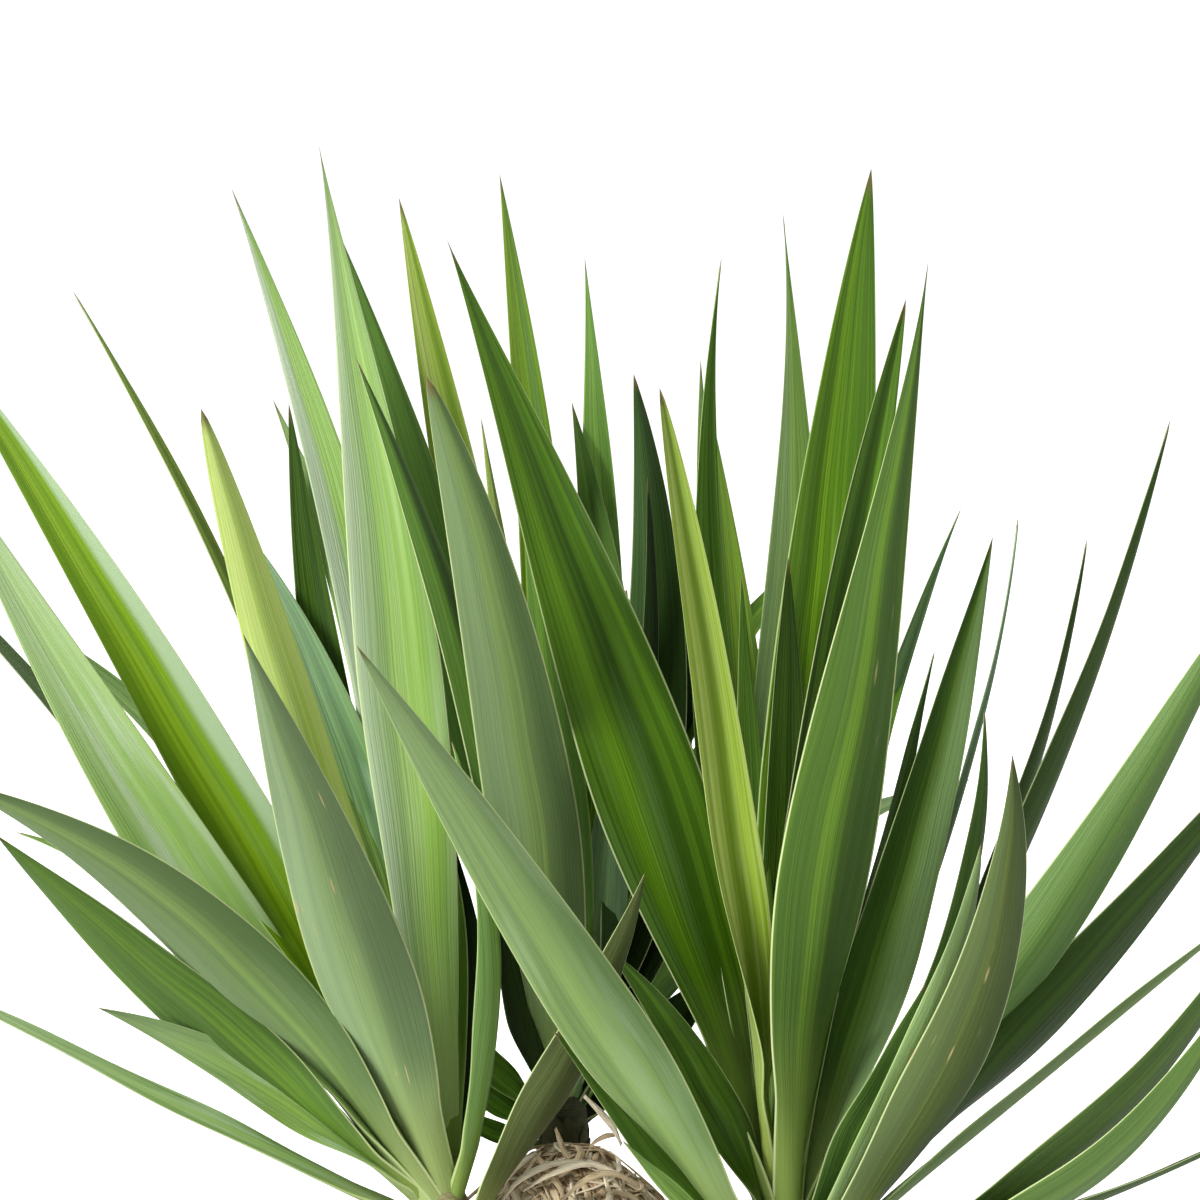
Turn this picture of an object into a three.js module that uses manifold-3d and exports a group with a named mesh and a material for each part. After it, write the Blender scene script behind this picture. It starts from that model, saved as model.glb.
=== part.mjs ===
// Spineless yucca in a round pot: three leafy shoots, potting soil and a heap of dry straw.
// Millimetres, +Z up. The origin is the centre of the pot's flat underside.
// +X is to the right and -Y is towards the side that the leaves are read from.
import * as THREE from "three";
import { mergeVertices } from "three/addons/utils/BufferGeometryUtils.js";
import Module from "manifold-3d";

const wasm = await Module();
wasm.setup();

// Pot
const RIM_RADIUS = 105;
const BASE_RADIUS = 76;
const POT_HEIGHT = 165;
const WALL = 6;
const FLOOR = 9;
const LIP_ROUND = 2;
const LIP_STEPS = 4;
const POT_SIDES = 40;
const DRAIN_RADIUS = 6;
const DRAIN_RING = 42;
const DRAIN_COUNT = 3;
const DRAIN_SIDES = 12;

// Soil and straw
const GAP = 0.3;
const SOIL_BELOW_RIM = 14;
const STRAW_THICKNESS = 6;
const HEAP_CREST = 222;
const HEAP_X = -12;
const HEAP_Y = 8;
const HEAP_SPREAD = 55;
const HEAP_SIDES = 24;
const HEAP_RINGS = [0.2, 0.4, 0.65, 1];
const STRAND = {
  count: 16,
  width: 6,
  thickness: 2,
  length: 61,
  lengthSpread: 0.6,
  steps: 5,
  curl: 1.4,
  curlSpread: 1.6,
  arch: 9,
  archSpread: 7,
  tiltSpread: 0.8,
  sunk: 2,
  ring: 66,
  fromWall: 3,
  seed: 5,
};

// Corners nearer than this are one corner.
const SNAP = 0.001;

// Leaves
const RIB_AT_ROOT = 2.6;
const RIB_AT_TIP = 1;
const LEAST_HALF_WIDTH = 0.5;
const ROOT_SHARE = 0.45;
const ROOT_INSET = 0.4;
const USUAL_BLADE = { widest: 0.42, taper: 1, fold: 0.25, sway: 0 };
const TIP_CURVE = 1.6;
const BLADE_STATIONS = [0, 0.14, 0.3, 0.46, 0.62, 0.77, 0.9, 1];
const CURVE_STEPS = 200;

// Stems. A crown is where the lowest leaf grows from the stem.
const STEM_SIDES = 12;
const STEM_FOOT = 108;
const HEAD = [
  { rise: -6, share: 1 },
  { rise: 8, share: 1.4 },
  { rise: 24, share: 1.2 },
  { rise: 40, share: 0.5 },
];
const STEMS = {
  left: { crown: [-58, -22, 192], foot: [-52, -19], radius: 9 },
  right: { crown: [68, -42, 184], foot: [56, -34], radius: 10 },
  back: { crown: [-14, 38, 214], foot: [-13, 34], radius: 7.5 },
};

// Leaves on the near side, one by one: the middle of the blade, its tip, the widest place's full
// width, and the plan angle in degrees that the blade's width lies along.
const NEAR_LEAVES = {
  left: [
    {
      rise: 24, middle: [-93, -80, 344], tip: [-118, -170, 461],
      width: 36, face: 10, taper: 1.2, widest: 0.34,
    },
    { rise: 18, middle: [-142, -70, 330], tip: [-226, -140, 405], width: 29, face: 20, taper: 1.1 },
    { rise: 18, middle: [-141, -58, 292], tip: [-209, -120, 380], width: 26, face: 15 },
    { rise: 16, middle: [-124, -46, 267], tip: [-180, -80, 306], width: 18, face: 30 },
    { rise: 10, middle: [-152, -16, 246], tip: [-258, -8, 299], width: 18, face: 78, fold: 0.1 },
    { rise: 14, middle: [-153, -38, 348], tip: [-237, -45, 504], width: 31, face: 15, fold: 0.3 },
    { rise: 17, middle: [-144, -20, 378], tip: [-246, 0, 544], width: 27, face: 12, fold: 0.5 },
    { rise: 10, middle: [-160, 8, 339], tip: [-272, 60, 454], width: 22, face: 70 },
    { rise: 22, middle: [-116, 20, 383], tip: [-200, 60, 547], width: 14, face: 66 },
    {
      rise: 26, middle: [-102, -50, 375], tip: [-138, -90, 524],
      width: 24, face: 20, taper: 0.7, fold: 0.35,
    },
    {
      rise: 24, middle: [-91, 14, 358], tip: [-142, 60, 462],
      width: 26, face: 10, taper: 0.9, fold: 0.3,
    },
    {
      rise: 30, middle: [-74, 4, 404], tip: [-104, 30, 605],
      width: 32, face: 5, taper: 1.4, widest: 0.48,
    },
    { rise: 28, middle: [-76, 30, 360], tip: [-127, 90, 501], width: 22, face: 15 },
    { rise: 28, middle: [-83, 34, 398], tip: [-140, 70, 585], width: 25, face: 20, taper: 1.1 },
    { rise: 26, middle: [-96, 26, 351], tip: [-120, 80, 501], width: 21, face: 15, taper: 0.9 },
    { rise: 20, middle: [-39, -34, 305], tip: [-55, -10, 388], width: 18, face: 60, fold: 0.3 },
    { rise: 2, middle: [-9, -54, 284], tip: [16, -80, 356], width: 19, face: 12, fold: 0.3 },
    { rise: 18, middle: [-52, 12, 282], tip: [-62, 24, 357], width: 20, face: 20, fold: 0.3 },
  ],
  right: [
    { rise: 3, middle: [-22, -108, 344], tip: [-80, -180, 459], width: 30, face: 15, widest: 0.36 },
    { rise: 32, middle: [10, -14, 391], tip: [-56, 2, 573], width: 42, face: 8, taper: 1.3, fold: 0.3 },
    {
      rise: 34, middle: [46, -42, 368], tip: [21, -60, 527],
      width: 18, face: 15, taper: 0.7, fold: 0.8,
    },
    { rise: 34, middle: [40, 6, 400], tip: [45, 24, 564], width: 23, face: 40, taper: 1.4, fold: 0.4 },
    { rise: 32, middle: [46, 20, 381], tip: [38, 50, 522], width: 18, face: 20 },
    { rise: 32, middle: [57, 14, 360], tip: [43, 45, 498], width: 22, face: 10 },
    { rise: 30, middle: [72, 26, 395], tip: [69, 60, 577], width: 33, face: 10, taper: 1.7, sway: 8 },
    { rise: 32, middle: [80, -2, 400], tip: [99, 8, 598], width: 39, face: 8, taper: 0.9, fold: 0.3 },
    {
      rise: 30, middle: [81, -26, 382], tip: [110, -24, 554],
      width: 27, face: 20, taper: 0.85, fold: 0.45,
    },
    {
      rise: 28, middle: [89, -56, 394], tip: [114, -75, 574],
      width: 35, face: 5, taper: 1.5, widest: 0.36, sway: 8,
    },
    { rise: 30, middle: [69, -13, 336], tip: [69, -10, 457], width: 20, face: 10, taper: 0.9 },
    { rise: 24, middle: [93, 18, 339], tip: [140, 80, 460], width: 17, face: 40, taper: 1.2 },
    { rise: 20, middle: [100, 8, 311], tip: [129, 60, 408], width: 16, face: 50, taper: 1.1 },
    { rise: 22, middle: [111, -16, 334], tip: [145, 0, 463], width: 27, face: 20, fold: 0.35 },
    { rise: 22, middle: [134, 34, 343], tip: [164, 100, 453], width: 10, face: 70 },
    { rise: 16, middle: [127, -26, 301], tip: [142, -10, 400], width: 16, face: 40 },
    { rise: 2, middle: [128, -108, 304], tip: [137, -170, 420], width: 27, face: 5, fold: 0.3 },
    {
      rise: 6, middle: [114, -92, 294], tip: [130, -140, 382],
      width: 16, face: 25, taper: 0.9, fold: 0.3,
    },
    { rise: 12, middle: [101, -58, 263], tip: [117, -70, 312], width: 20, face: 25, taper: 0.9 },
    { rise: 14, middle: [164, -50, 328], tip: [231, -80, 467], width: 28, face: 12, fold: 0.3 },
    { rise: 10, middle: [166, -36, 292], tip: [252, -30, 400], width: 29, face: 25 },
    { rise: 6, middle: [159, -66, 274], tip: [245, -100, 363], width: 24, face: 60 },
    { rise: 4, middle: [167, -84, 252], tip: [234, -120, 359], width: 22, face: 20 },
    { rise: 2, middle: [165, -108, 247], tip: [217, -165, 344], width: 20, face: 5 },
    { rise: 0, middle: [163, -75, 225], tip: [246, -95, 272], width: 23, face: 50 },
    { rise: 18, middle: [159, 10, 339], tip: [216, 50, 499], width: 27, face: 62, fold: 0.3 },
    { rise: 18, middle: [149, 24, 322], tip: [190, 90, 446], width: 18, face: 62 },
    { rise: 18, middle: [39, -46, 266], tip: [3, -34, 315], width: 17, face: 10, taper: 0.9 },
    { rise: 26, middle: [58, -18, 323], tip: [52, -6, 450], width: 14, face: 15 },
    { rise: 4, middle: [18, -58, 252], tip: [-17, -66, 293], width: 22, face: 20 },
    { rise: -2, middle: [30, -72, 229], tip: [8, -88, 259], width: 12, face: 60 },
  ],
  back: [
    { rise: 20, middle: [-30, -30, 395], tip: [-61, -60, 531], width: 34, face: 5, taper: 0.75 },
    { rise: 20, middle: [-40, -12, 389], tip: [-88, -30, 534], width: 20, face: 35, fold: 0.5 },
    { rise: 22, middle: [-50, 28, 399], tip: [-98, 45, 571], width: 32, face: 10 },
    {
      rise: 24, middle: [-42, 42, 404], tip: [-76, 62, 582],
      width: 24, face: 10, taper: 0.9, fold: 0.3,
    },
    { rise: 22, middle: [-26, 10, 368], tip: [-44, 10, 506], width: 14, face: 30 },
    { rise: 18, middle: [-14, 18, 351], tip: [-28, 10, 467], width: 22, face: 10, taper: 0.9 },
    { rise: 14, middle: [1, 30, 304], tip: [5, 28, 387], width: 20, face: 10, taper: 0.9 },
    { rise: 26, middle: [-19, 50, 406], tip: [-38, 64, 591], width: 22, face: 15, fold: 0.3 },
    { rise: 26, middle: [-1, 64, 391], tip: [-6, 100, 556], width: 23, face: 15, taper: 1.25 },
    { rise: 24, middle: [4, 46, 367], tip: [-11, 84, 501], width: 26, face: 10, fold: 0.3 },
    { rise: 24, middle: [20, 42, 376], tip: [13, 90, 511], width: 28, face: 8, taper: 0.9 },
    { rise: 22, middle: [15, 36, 358], tip: [18, 60, 475], width: 10, face: 10, taper: 0.9 },
    { rise: 8, middle: [-49, 36, 256], tip: [-66, 40, 280], width: 12, face: 20 },
    { rise: 4, middle: [-49, 34, 240], tip: [-70, 38, 254], width: 10, face: 20 },
    { rise: 0, middle: [-48, 32, 226], tip: [-66, 34, 237], width: 9, face: 20 },
    { rise: 10, middle: [28, 58, 325], tip: [65, 110, 401], width: 24, face: 15 },
    { rise: 14, middle: [19, 52, 338], tip: [39, 90, 443], width: 24, face: 15 },
    { rise: 12, middle: [-29, 18, 284], tip: [-37, 6, 338], width: 18, face: 15 },
    { rise: 6, middle: [13, 58, 243], tip: [49, 84, 274], width: 22, face: 10 },
  ],
};

// Leaves on the far side stand round each crown in three tiers, by a seeded rule. They set out
// a little steeper than their lean and arch past it.
const FAR_LEAVES = {
  left: { count: 6, from: 104, to: 150, seed: 56 },
  right: { count: 4, from: 60, to: 92, seed: 364 },
  back: { count: 10, from: 28, to: 128, seed: 301 },
};
const FAR_BLADE = { length: 330, lengthSpread: 0.12, width: 27, widthSpread: 10, turnSpread: 10 };
const FAR_ARCH = { leanSpread: 8, before: 7, after: 5 };
const TIERS = [
  { lean: 26, share: 0.7, rise: 30 },
  { lean: 64, share: 0.86, rise: 12 },
  { lean: 46, share: 0.86, rise: 22 },
];

// Seeded draws from 0 to 1, by the usual linear congruential rule.
function draws(seed) {
  let state = seed;
  return () => {
    state = (Math.imul(state, 1664525) + 1013904223) >>> 0;
    return state / 2 ** 32;
  };
}

function spread(draw, amount) {
  return (draw() - 0.5) * amount;
}

function radians(degrees) {
  return (degrees * Math.PI) / 180;
}

function smoothstep(x) {
  const t = THREE.MathUtils.clamp(x, 0, 1);
  return t * t * (3 - 2 * t);
}

// Closed meshes to solids and back
function solidFromArrays(positions, triangles) {
  const mesh = new wasm.Mesh({
    numProp: 3,
    vertProperties: new Float32Array(positions),
    triVerts: new Uint32Array(triangles),
  });
  return new wasm.Manifold(mesh);
}

function solidFrom(geometry) {
  const bare = geometry.clone();
  bare.deleteAttribute("normal");
  bare.deleteAttribute("uv");
  const merged = mergeVertices(bare, SNAP);
  const index = Array.from(merged.index.array);
  const kept = [];
  for (let i = 0; i < index.length; i += 3) {
    const [a, b, c] = index.slice(i, i + 3);
    if (a !== b && b !== c && c !== a) {
      kept.push(a, b, c);
    }
  }
  return solidFromArrays(merged.attributes.position.array, kept);
}

function geometryFrom(solid) {
  const mesh = solid.getMesh();
  const geometry = new THREE.BufferGeometry();
  geometry.setAttribute("position", new THREE.BufferAttribute(mesh.vertProperties.slice(), 3));
  geometry.setIndex(new THREE.BufferAttribute(mesh.triVerts.slice(), 1));
  geometry.computeVertexNormals();
  return geometry;
}

// Solids joined into one body: a loose scrap is dropped, a sealed hollow is filled and corners
// that all but meet become one.
function joined(solids) {
  const bodies = solids.reduce((whole, solid) => whole.add(solid)).decompose();
  const body = bodies.reduce((most, next) => (next.volume() > most.volume() ? next : most));
  return solidFrom(geometryFrom(body));
}

function without(body, cuts) {
  return cuts.reduce((rest, cut) => rest.subtract(cut), body);
}

// Rings of points with the same count, joined into a closed tube. Rings run anticlockwise seen
// from the tube's end. flipped lists the sides whose quads take the other diagonal.
function tubeSolid(rings, capCentre = 0, flipped = []) {
  const sides = rings[0].length;
  const positions = rings.flat().flatMap((point) => [point.x, point.y, point.z]);
  const triangles = [];
  for (let i = 0; i + 1 < rings.length; i += 1) {
    for (let j = 0; j < sides; j += 1) {
      const a = i * sides + j;
      const b = i * sides + ((j + 1) % sides);
      const c = b + sides;
      const d = a + sides;
      if (flipped.includes(j)) {
        triangles.push(a, b, d, b, c, d);
      } else {
        triangles.push(a, b, c, a, c, d);
      }
    }
  }
  const last = (rings.length - 1) * sides;
  for (let k = 1; k + 1 < sides; k += 1) {
    const one = (capCentre + k) % sides;
    const two = (capCentre + k + 1) % sides;
    triangles.push(capCentre, two, one);
    triangles.push(last + capCentre, last + one, last + two);
  }
  return solidFromArrays(positions, triangles);
}

// A ring of points square to an axis, for stems and the holes that they stand in.
function ringAt(centre, axis, radius) {
  const across = new THREE.Vector3(1, 0, 0).addScaledVector(axis, -axis.x).normalize();
  const up = new THREE.Vector3().crossVectors(axis, across);
  const ring = [];
  for (let k = 0; k < STEM_SIDES; k += 1) {
    const turn = (2 * Math.PI * k) / STEM_SIDES;
    const point = centre.clone().addScaledVector(across, radius * Math.cos(turn));
    ring.push(point.addScaledVector(up, radius * Math.sin(turn)));
  }
  return ring;
}

// One blade: a curve from the stem through its middle to its tip, a width that swells from the
// root and tapers to the tip, and a section folded up a little on both sides of the rib.
function bladeCurve(base, leaf) {
  const middle = new THREE.Vector3(...leaf.middle);
  const tip = new THREE.Vector3(...leaf.tip);
  const sway = new THREE.Vector3(leaf.sway, 0, 0);
  const pull = middle.clone().multiplyScalar(2).addScaledVector(base, -0.5).addScaledVector(tip, -0.5);
  const first = base.clone().lerp(pull, 2 / 3).sub(sway);
  const second = middle.clone().multiplyScalar(8).sub(base).addScaledVector(first, -3).sub(tip);
  second.divideScalar(3);
  const curve = new THREE.CubicBezierCurve3(base, first, second, tip);
  curve.arcLengthDivisions = CURVE_STEPS;
  return curve;
}

function bladeHalfWidth({ width, widest, taper }, along) {
  if (along < widest) {
    return (width / 2) * (ROOT_SHARE + (1 - ROOT_SHARE) * smoothstep(along / widest));
  }
  const past = (along - widest) / (1 - widest);
  return Math.max((width / 2) * (1 - past ** TIP_CURVE) ** taper, LEAST_HALF_WIDTH);
}

function bladeSolid(stem, record) {
  const leaf = { ...USUAL_BLADE, ...record };
  const axis = new THREE.Vector3(stem.crown[0], stem.crown[1], stem.crown[2] + leaf.rise);
  const bearing = Math.atan2(leaf.middle[1] - axis.y, leaf.middle[0] - axis.x);
  const outward = new THREE.Vector3(Math.cos(bearing), Math.sin(bearing), 0);
  const base = axis.addScaledVector(outward, stem.radius * ROOT_INSET);
  const curve = bladeCurve(base, leaf);
  const rootAcross = new THREE.Vector3(-Math.sin(bearing), Math.cos(bearing), 0);
  const face = radians(leaf.face);
  const bellyAcross = new THREE.Vector3(Math.cos(face), Math.sin(face), 0);
  if (bellyAcross.dot(rootAcross) < 0) {
    bellyAcross.negate();
  }
  const rings = BLADE_STATIONS.map((along) => {
    const centre = curve.getPointAt(along);
    const forward = curve.getTangentAt(along);
    const across = rootAcross.clone().lerp(bellyAcross, smoothstep(along * 2));
    across.addScaledVector(forward, -across.dot(forward)).normalize();
    const upper = new THREE.Vector3().crossVectors(forward, across);
    const half = bladeHalfWidth(leaf, along);
    const rib = THREE.MathUtils.lerp(RIB_AT_ROOT, RIB_AT_TIP, Math.min(1, along * 2)) / 2;
    const lift = leaf.fold * half;
    const at = (x, y) => centre.clone().addScaledVector(across, x).addScaledVector(upper, y);
    return [at(half, lift), at(0, rib), at(-half, lift), at(0, -rib)];
  });
  return tubeSolid(rings, 1, [1, 3]);
}

function farLeaves(stem, rule) {
  const draw = draws(rule.seed);
  const leaves = [];
  for (let k = 0; k < rule.count; k += 1) {
    const even = rule.from + ((rule.to - rule.from) * (k + 0.5)) / rule.count;
    const turn = even + spread(draw, FAR_BLADE.turnSpread);
    const tier = TIERS[k % TIERS.length];
    const lean = tier.lean + spread(draw, FAR_ARCH.leanSpread);
    const length = FAR_BLADE.length * tier.share * (1 + spread(draw, FAR_BLADE.lengthSpread));
    const width = FAR_BLADE.width + spread(draw, FAR_BLADE.widthSpread);
    const outward = new THREE.Vector3(Math.cos(radians(turn)), Math.sin(radians(turn)), 0);
    const root = new THREE.Vector3(stem.crown[0], stem.crown[1], stem.crown[2] + tier.rise);
    root.addScaledVector(outward, stem.radius * ROOT_INSET);
    const reach = (distance, angle) =>
      root
        .clone()
        .addScaledVector(outward, distance * Math.sin(radians(angle)))
        .setZ(root.z + distance * Math.cos(radians(angle)))
        .toArray();
    leaves.push({
      rise: tier.rise,
      middle: reach(length / 2, lean - FAR_ARCH.before),
      tip: reach(length, lean + FAR_ARCH.after),
      width,
      face: turn + 90,
    });
  }
  return leaves;
}

// A stem leans from its foot in the soil to its crown, where the leaf roots make it a thick head.
// It stands in a plain hole of its own shape, open at the top.
function stemRings(stem, grow) {
  const crown = new THREE.Vector3(...stem.crown);
  const foot = new THREE.Vector3(stem.foot[0], stem.foot[1], STEM_FOOT);
  const lean = crown.clone().sub(foot).normalize();
  const upright = new THREE.Vector3(0, 0, 1);
  const low = ringAt(foot.addScaledVector(lean, -grow), lean, stem.radius + grow);
  const head = HEAD.map(({ rise, share }) => {
    const centre = crown.clone().addScaledVector(upright, rise);
    return ringAt(centre, upright, stem.radius * share + grow);
  });
  return [low, ...head];
}

function stemSolid(stem) {
  return tubeSolid(stemRings(stem, 0));
}

function stemHole(stem) {
  const [low, neck, wide] = stemRings(stem, GAP);
  const mouth = wide.map((point) => point.clone().setZ(HEAP_CREST * 2));
  return tubeSolid([low, neck, wide, mouth]);
}

function allLeaves(side) {
  return [...NEAR_LEAVES[side], ...farLeaves(STEMS[side], FAR_LEAVES[side])];
}

function shootSolid(side) {
  const stem = STEMS[side];
  const blades = allLeaves(side).map((leaf) => bladeSolid(stem, leaf));
  return joined([stemSolid(stem), ...blades]);
}

// The heap: a rounded hill of soil that runs out level towards the pot's wall.
function soilHeight(x, y) {
  const level = POT_HEIGHT - SOIL_BELOW_RIM;
  const crest = HEAP_CREST - STRAW_THICKNESS - GAP;
  const away = ((x - HEAP_X) ** 2 + (y - HEAP_Y) ** 2) / HEAP_SPREAD ** 2;
  return level + (crest - level) * Math.exp(-away);
}

// The height of the straw over any place on the heap.
function strawHeight(x, y) {
  return soilHeight(x, y) + GAP + STRAW_THICKNESS;
}

function innerRadius(z) {
  return BASE_RADIUS + ((RIM_RADIUS - BASE_RADIUS) * z) / POT_HEIGHT - WALL;
}

// A body of revolution from a profile of [radius, height] pairs that starts and ends on the axis.
function turned(profile, sides) {
  const points = profile.map(([radius, height]) => new THREE.Vector2(radius, height));
  const geometry = new THREE.LatheGeometry(points, sides);
  geometry.rotateX(Math.PI / 2);
  return geometry;
}

function potSolid() {
  const lip = [];
  for (let k = 0; k <= LIP_STEPS; k += 1) {
    const turn = (Math.PI * k) / LIP_STEPS;
    lip.push([
      RIM_RADIUS - WALL / 2 + (WALL / 2) * Math.cos(turn),
      POT_HEIGHT - LIP_ROUND + LIP_ROUND * Math.sin(turn),
    ]);
  }
  const profile = [[0, 0], [BASE_RADIUS, 0], ...lip, [innerRadius(FLOOR), FLOOR], [0, FLOOR]];
  let pot = solidFrom(turned(profile, POT_SIDES));
  for (let k = 0; k < DRAIN_COUNT; k += 1) {
    const turn = (2 * Math.PI * k) / DRAIN_COUNT + Math.PI / 2;
    const drain = new THREE.CylinderGeometry(DRAIN_RADIUS, DRAIN_RADIUS, FLOOR * 3, DRAIN_SIDES);
    drain.rotateX(Math.PI / 2);
    drain.translate(DRAIN_RING * Math.cos(turn), DRAIN_RING * Math.sin(turn), FLOOR / 2);
    pot = pot.subtract(solidFrom(drain));
  }
  return pot;
}

// A round block whose top follows the heap at some height over the soil's surface.
function heapBlock(lift) {
  const bottom = FLOOR + GAP;
  const edge = POT_HEIGHT - SOIL_BELOW_RIM;
  const reach = innerRadius(edge) - GAP;
  const over = HEAP_RINGS.toReversed().map((share) => [reach * share, edge]);
  const profile = [[0, bottom], [innerRadius(bottom) - GAP, bottom], ...over, [0, edge]];
  const geometry = turned(profile, HEAP_SIDES);
  const place = geometry.attributes.position;
  for (let i = 0; i < place.count; i += 1) {
    if (place.getZ(i) > bottom + 1) {
      place.setZ(i, soilHeight(place.getX(i), place.getY(i)) + lift);
    }
  }
  return solidFrom(geometry);
}

function stemHoles() {
  return Object.values(STEMS).map(stemHole);
}

function soilSolid() {
  return without(heapBlock(0), stemHoles());
}

// The straw bed lies over the soil in an even layer.
function strawBed() {
  const layer = heapBlock(GAP + STRAW_THICKNESS).subtract(heapBlock(GAP));
  return without(layer, stemHoles());
}

// One strand of straw: a flat strip that curls in plan and arches out of the heap.
function strandRings(seed, grow) {
  const draw = draws(seed);
  const turn = draw() * 2 * Math.PI;
  const away = STRAND.ring * Math.sqrt(draw());
  const heading = draw() * 2 * Math.PI;
  const curl = (draw() < 0.5 ? -1 : 1) * (STRAND.curl + spread(draw, STRAND.curlSpread));
  const step = (STRAND.length * (1 + spread(draw, STRAND.lengthSpread))) / STRAND.steps;
  const arch = STRAND.arch + spread(draw, STRAND.archSpread);
  const tilt = spread(draw, STRAND.tiltSpread);
  const place = new THREE.Vector3(HEAP_X + away * Math.cos(turn), HEAP_Y + away * Math.sin(turn), 0);
  const rings = [];
  for (let i = 0; i <= STRAND.steps; i += 1) {
    const along = i / STRAND.steps;
    const angle = heading + curl * (along - 0.5);
    const forward = new THREE.Vector3(Math.cos(angle), Math.sin(angle), 0);
    const across = new THREE.Vector3(-forward.y, forward.x, tilt).normalize();
    const upper = new THREE.Vector3().crossVectors(forward, across);
    const swell = Math.sin(Math.PI * along);
    const height = strawHeight(place.x, place.y) + arch * swell - STRAND.sunk;
    const wide = (STRAND.width / 2) * (0.6 + 0.4 * swell) + grow;
    const thick = STRAND.thickness / 2 + grow;
    const at = (a, b) =>
      place.clone().setZ(height).addScaledVector(across, a).addScaledVector(upper, b);
    rings.push([at(wide, -thick), at(wide, thick), at(-wide, thick), at(-wide, -thick)]);
    place.addScaledVector(forward, step);
  }
  return rings;
}

// Strands are drawn until enough lie clear of the shoots and inside the pot.
function strawSolid(shoots) {
  const blocks = [...stemHoles(), ...shoots];
  const seat = innerRadius(POT_HEIGHT - SOIL_BELOW_RIM) - STRAND.fromWall;
  const draw = draws(STRAND.seed);
  const strands = [];
  while (strands.length < STRAND.count) {
    const seed = Math.floor(draw() * 1e6);
    const rings = strandRings(seed, 2 * GAP);
    const inside = rings.flat().every((point) => Math.hypot(point.x, point.y) < seat);
    const fat = tubeSolid(rings);
    if (inside && blocks.every((block) => fat.intersect(block).isEmpty())) {
      strands.push(tubeSolid(strandRings(seed, 0)));
    }
  }
  return joined([strawBed(), ...strands]);
}

// Finishes
const FINISHES = {
  clay: new THREE.MeshStandardMaterial({ name: "clay", color: 0xb5704f, roughness: 0.85, metalness: 0 }),
  soil: new THREE.MeshStandardMaterial({ name: "soil", color: 0x3b2a1f, roughness: 1, metalness: 0 }),
  straw: new THREE.MeshStandardMaterial({ name: "straw", color: 0xbea582, roughness: 0.9, metalness: 0 }),
  leaf: new THREE.MeshStandardMaterial({ name: "leaf", color: 0x6f9a4c, roughness: 0.5, metalness: 0 }),
};

function piece(name, solid, material) {
  const mesh = new THREE.Mesh(geometryFrom(solid), material);
  mesh.name = name;
  return mesh;
}

const sides = Object.keys(STEMS);
const shoots = sides.map((side) => shootSolid(side));
const yucca = new THREE.Group();
yucca.name = "potted_spineless_yucca";
yucca.add(piece("pot", potSolid(), FINISHES.clay));
yucca.add(piece("potting_soil", soilSolid(), FINISHES.soil));
yucca.add(piece("straw_mulch", strawSolid(shoots), FINISHES.straw));
sides.forEach((side, i) => yucca.add(piece(`shoot_${side}`, shoots[i], FINISHES.leaf)));

export default yucca;
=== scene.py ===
"""Looks of a potted spineless yucca: blades, stems, straw, soil and clay pot.

Lengths in the records are millimetres, as in the solids, and every mesh is made in metres.
"""

from __future__ import annotations

import logging
import math
import random
from collections.abc import Iterator
from dataclasses import dataclass
from enum import Enum
from typing import Any

import bmesh
import bpy
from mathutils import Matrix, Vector, noise


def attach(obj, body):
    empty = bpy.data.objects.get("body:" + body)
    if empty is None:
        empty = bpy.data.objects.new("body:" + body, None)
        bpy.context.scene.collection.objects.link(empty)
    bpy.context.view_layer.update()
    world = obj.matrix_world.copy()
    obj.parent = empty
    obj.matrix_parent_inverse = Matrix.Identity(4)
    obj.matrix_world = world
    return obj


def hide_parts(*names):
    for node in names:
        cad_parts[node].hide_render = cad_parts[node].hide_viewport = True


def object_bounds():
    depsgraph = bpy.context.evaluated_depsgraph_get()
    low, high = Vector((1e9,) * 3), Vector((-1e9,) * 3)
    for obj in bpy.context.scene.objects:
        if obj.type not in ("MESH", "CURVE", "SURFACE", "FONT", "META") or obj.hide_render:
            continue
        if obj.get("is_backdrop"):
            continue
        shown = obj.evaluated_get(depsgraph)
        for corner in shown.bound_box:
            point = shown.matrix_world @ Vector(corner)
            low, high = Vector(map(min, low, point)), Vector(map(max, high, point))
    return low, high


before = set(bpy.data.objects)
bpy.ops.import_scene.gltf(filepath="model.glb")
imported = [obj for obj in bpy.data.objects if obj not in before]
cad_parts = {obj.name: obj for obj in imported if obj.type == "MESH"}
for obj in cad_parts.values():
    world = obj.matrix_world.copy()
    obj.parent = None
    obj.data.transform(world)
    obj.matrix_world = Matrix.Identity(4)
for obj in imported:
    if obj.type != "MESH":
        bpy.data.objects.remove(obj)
CAD_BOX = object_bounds()
LOG = logging.getLogger("yucca")
MM = 0.001
BODY = "root"
FULL_TURN = 2 * math.pi

BMesh = bmesh.types.BMesh
Corner = bmesh.types.BMVert
Socket = bpy.types.NodeSocket
Tree = bpy.types.NodeTree
Screen = tuple[int, int, int]
Place = tuple[float, float, float]
Pair = tuple[float, float]

# Measures of the solids
STEM_FOOT = 108
POT_HEIGHT = 165
RIM_RADIUS = 105
BASE_RADIUS = 76
WALL = 6
FLOOR = 9
GAP = 0.3
SOIL_LEVEL = 151
HEAP_CREST = 215.7
HEAP_PLACE = (-12, 8)
HEAP_SPREAD = 55


# Small sums


def ease(value: float, low: float = 0.0, high: float = 1.0) -> float:
    """Gives a smooth step.

    Args:
        value: Where to read the step.
        low: Where it leaves 0.
        high: Where it reaches 1.

    Returns:
        A number from 0 to 1.
    """
    share = min(1.0, max(0.0, (value - low) / (high - low)))
    return share * share * (3 - 2 * share)


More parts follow.
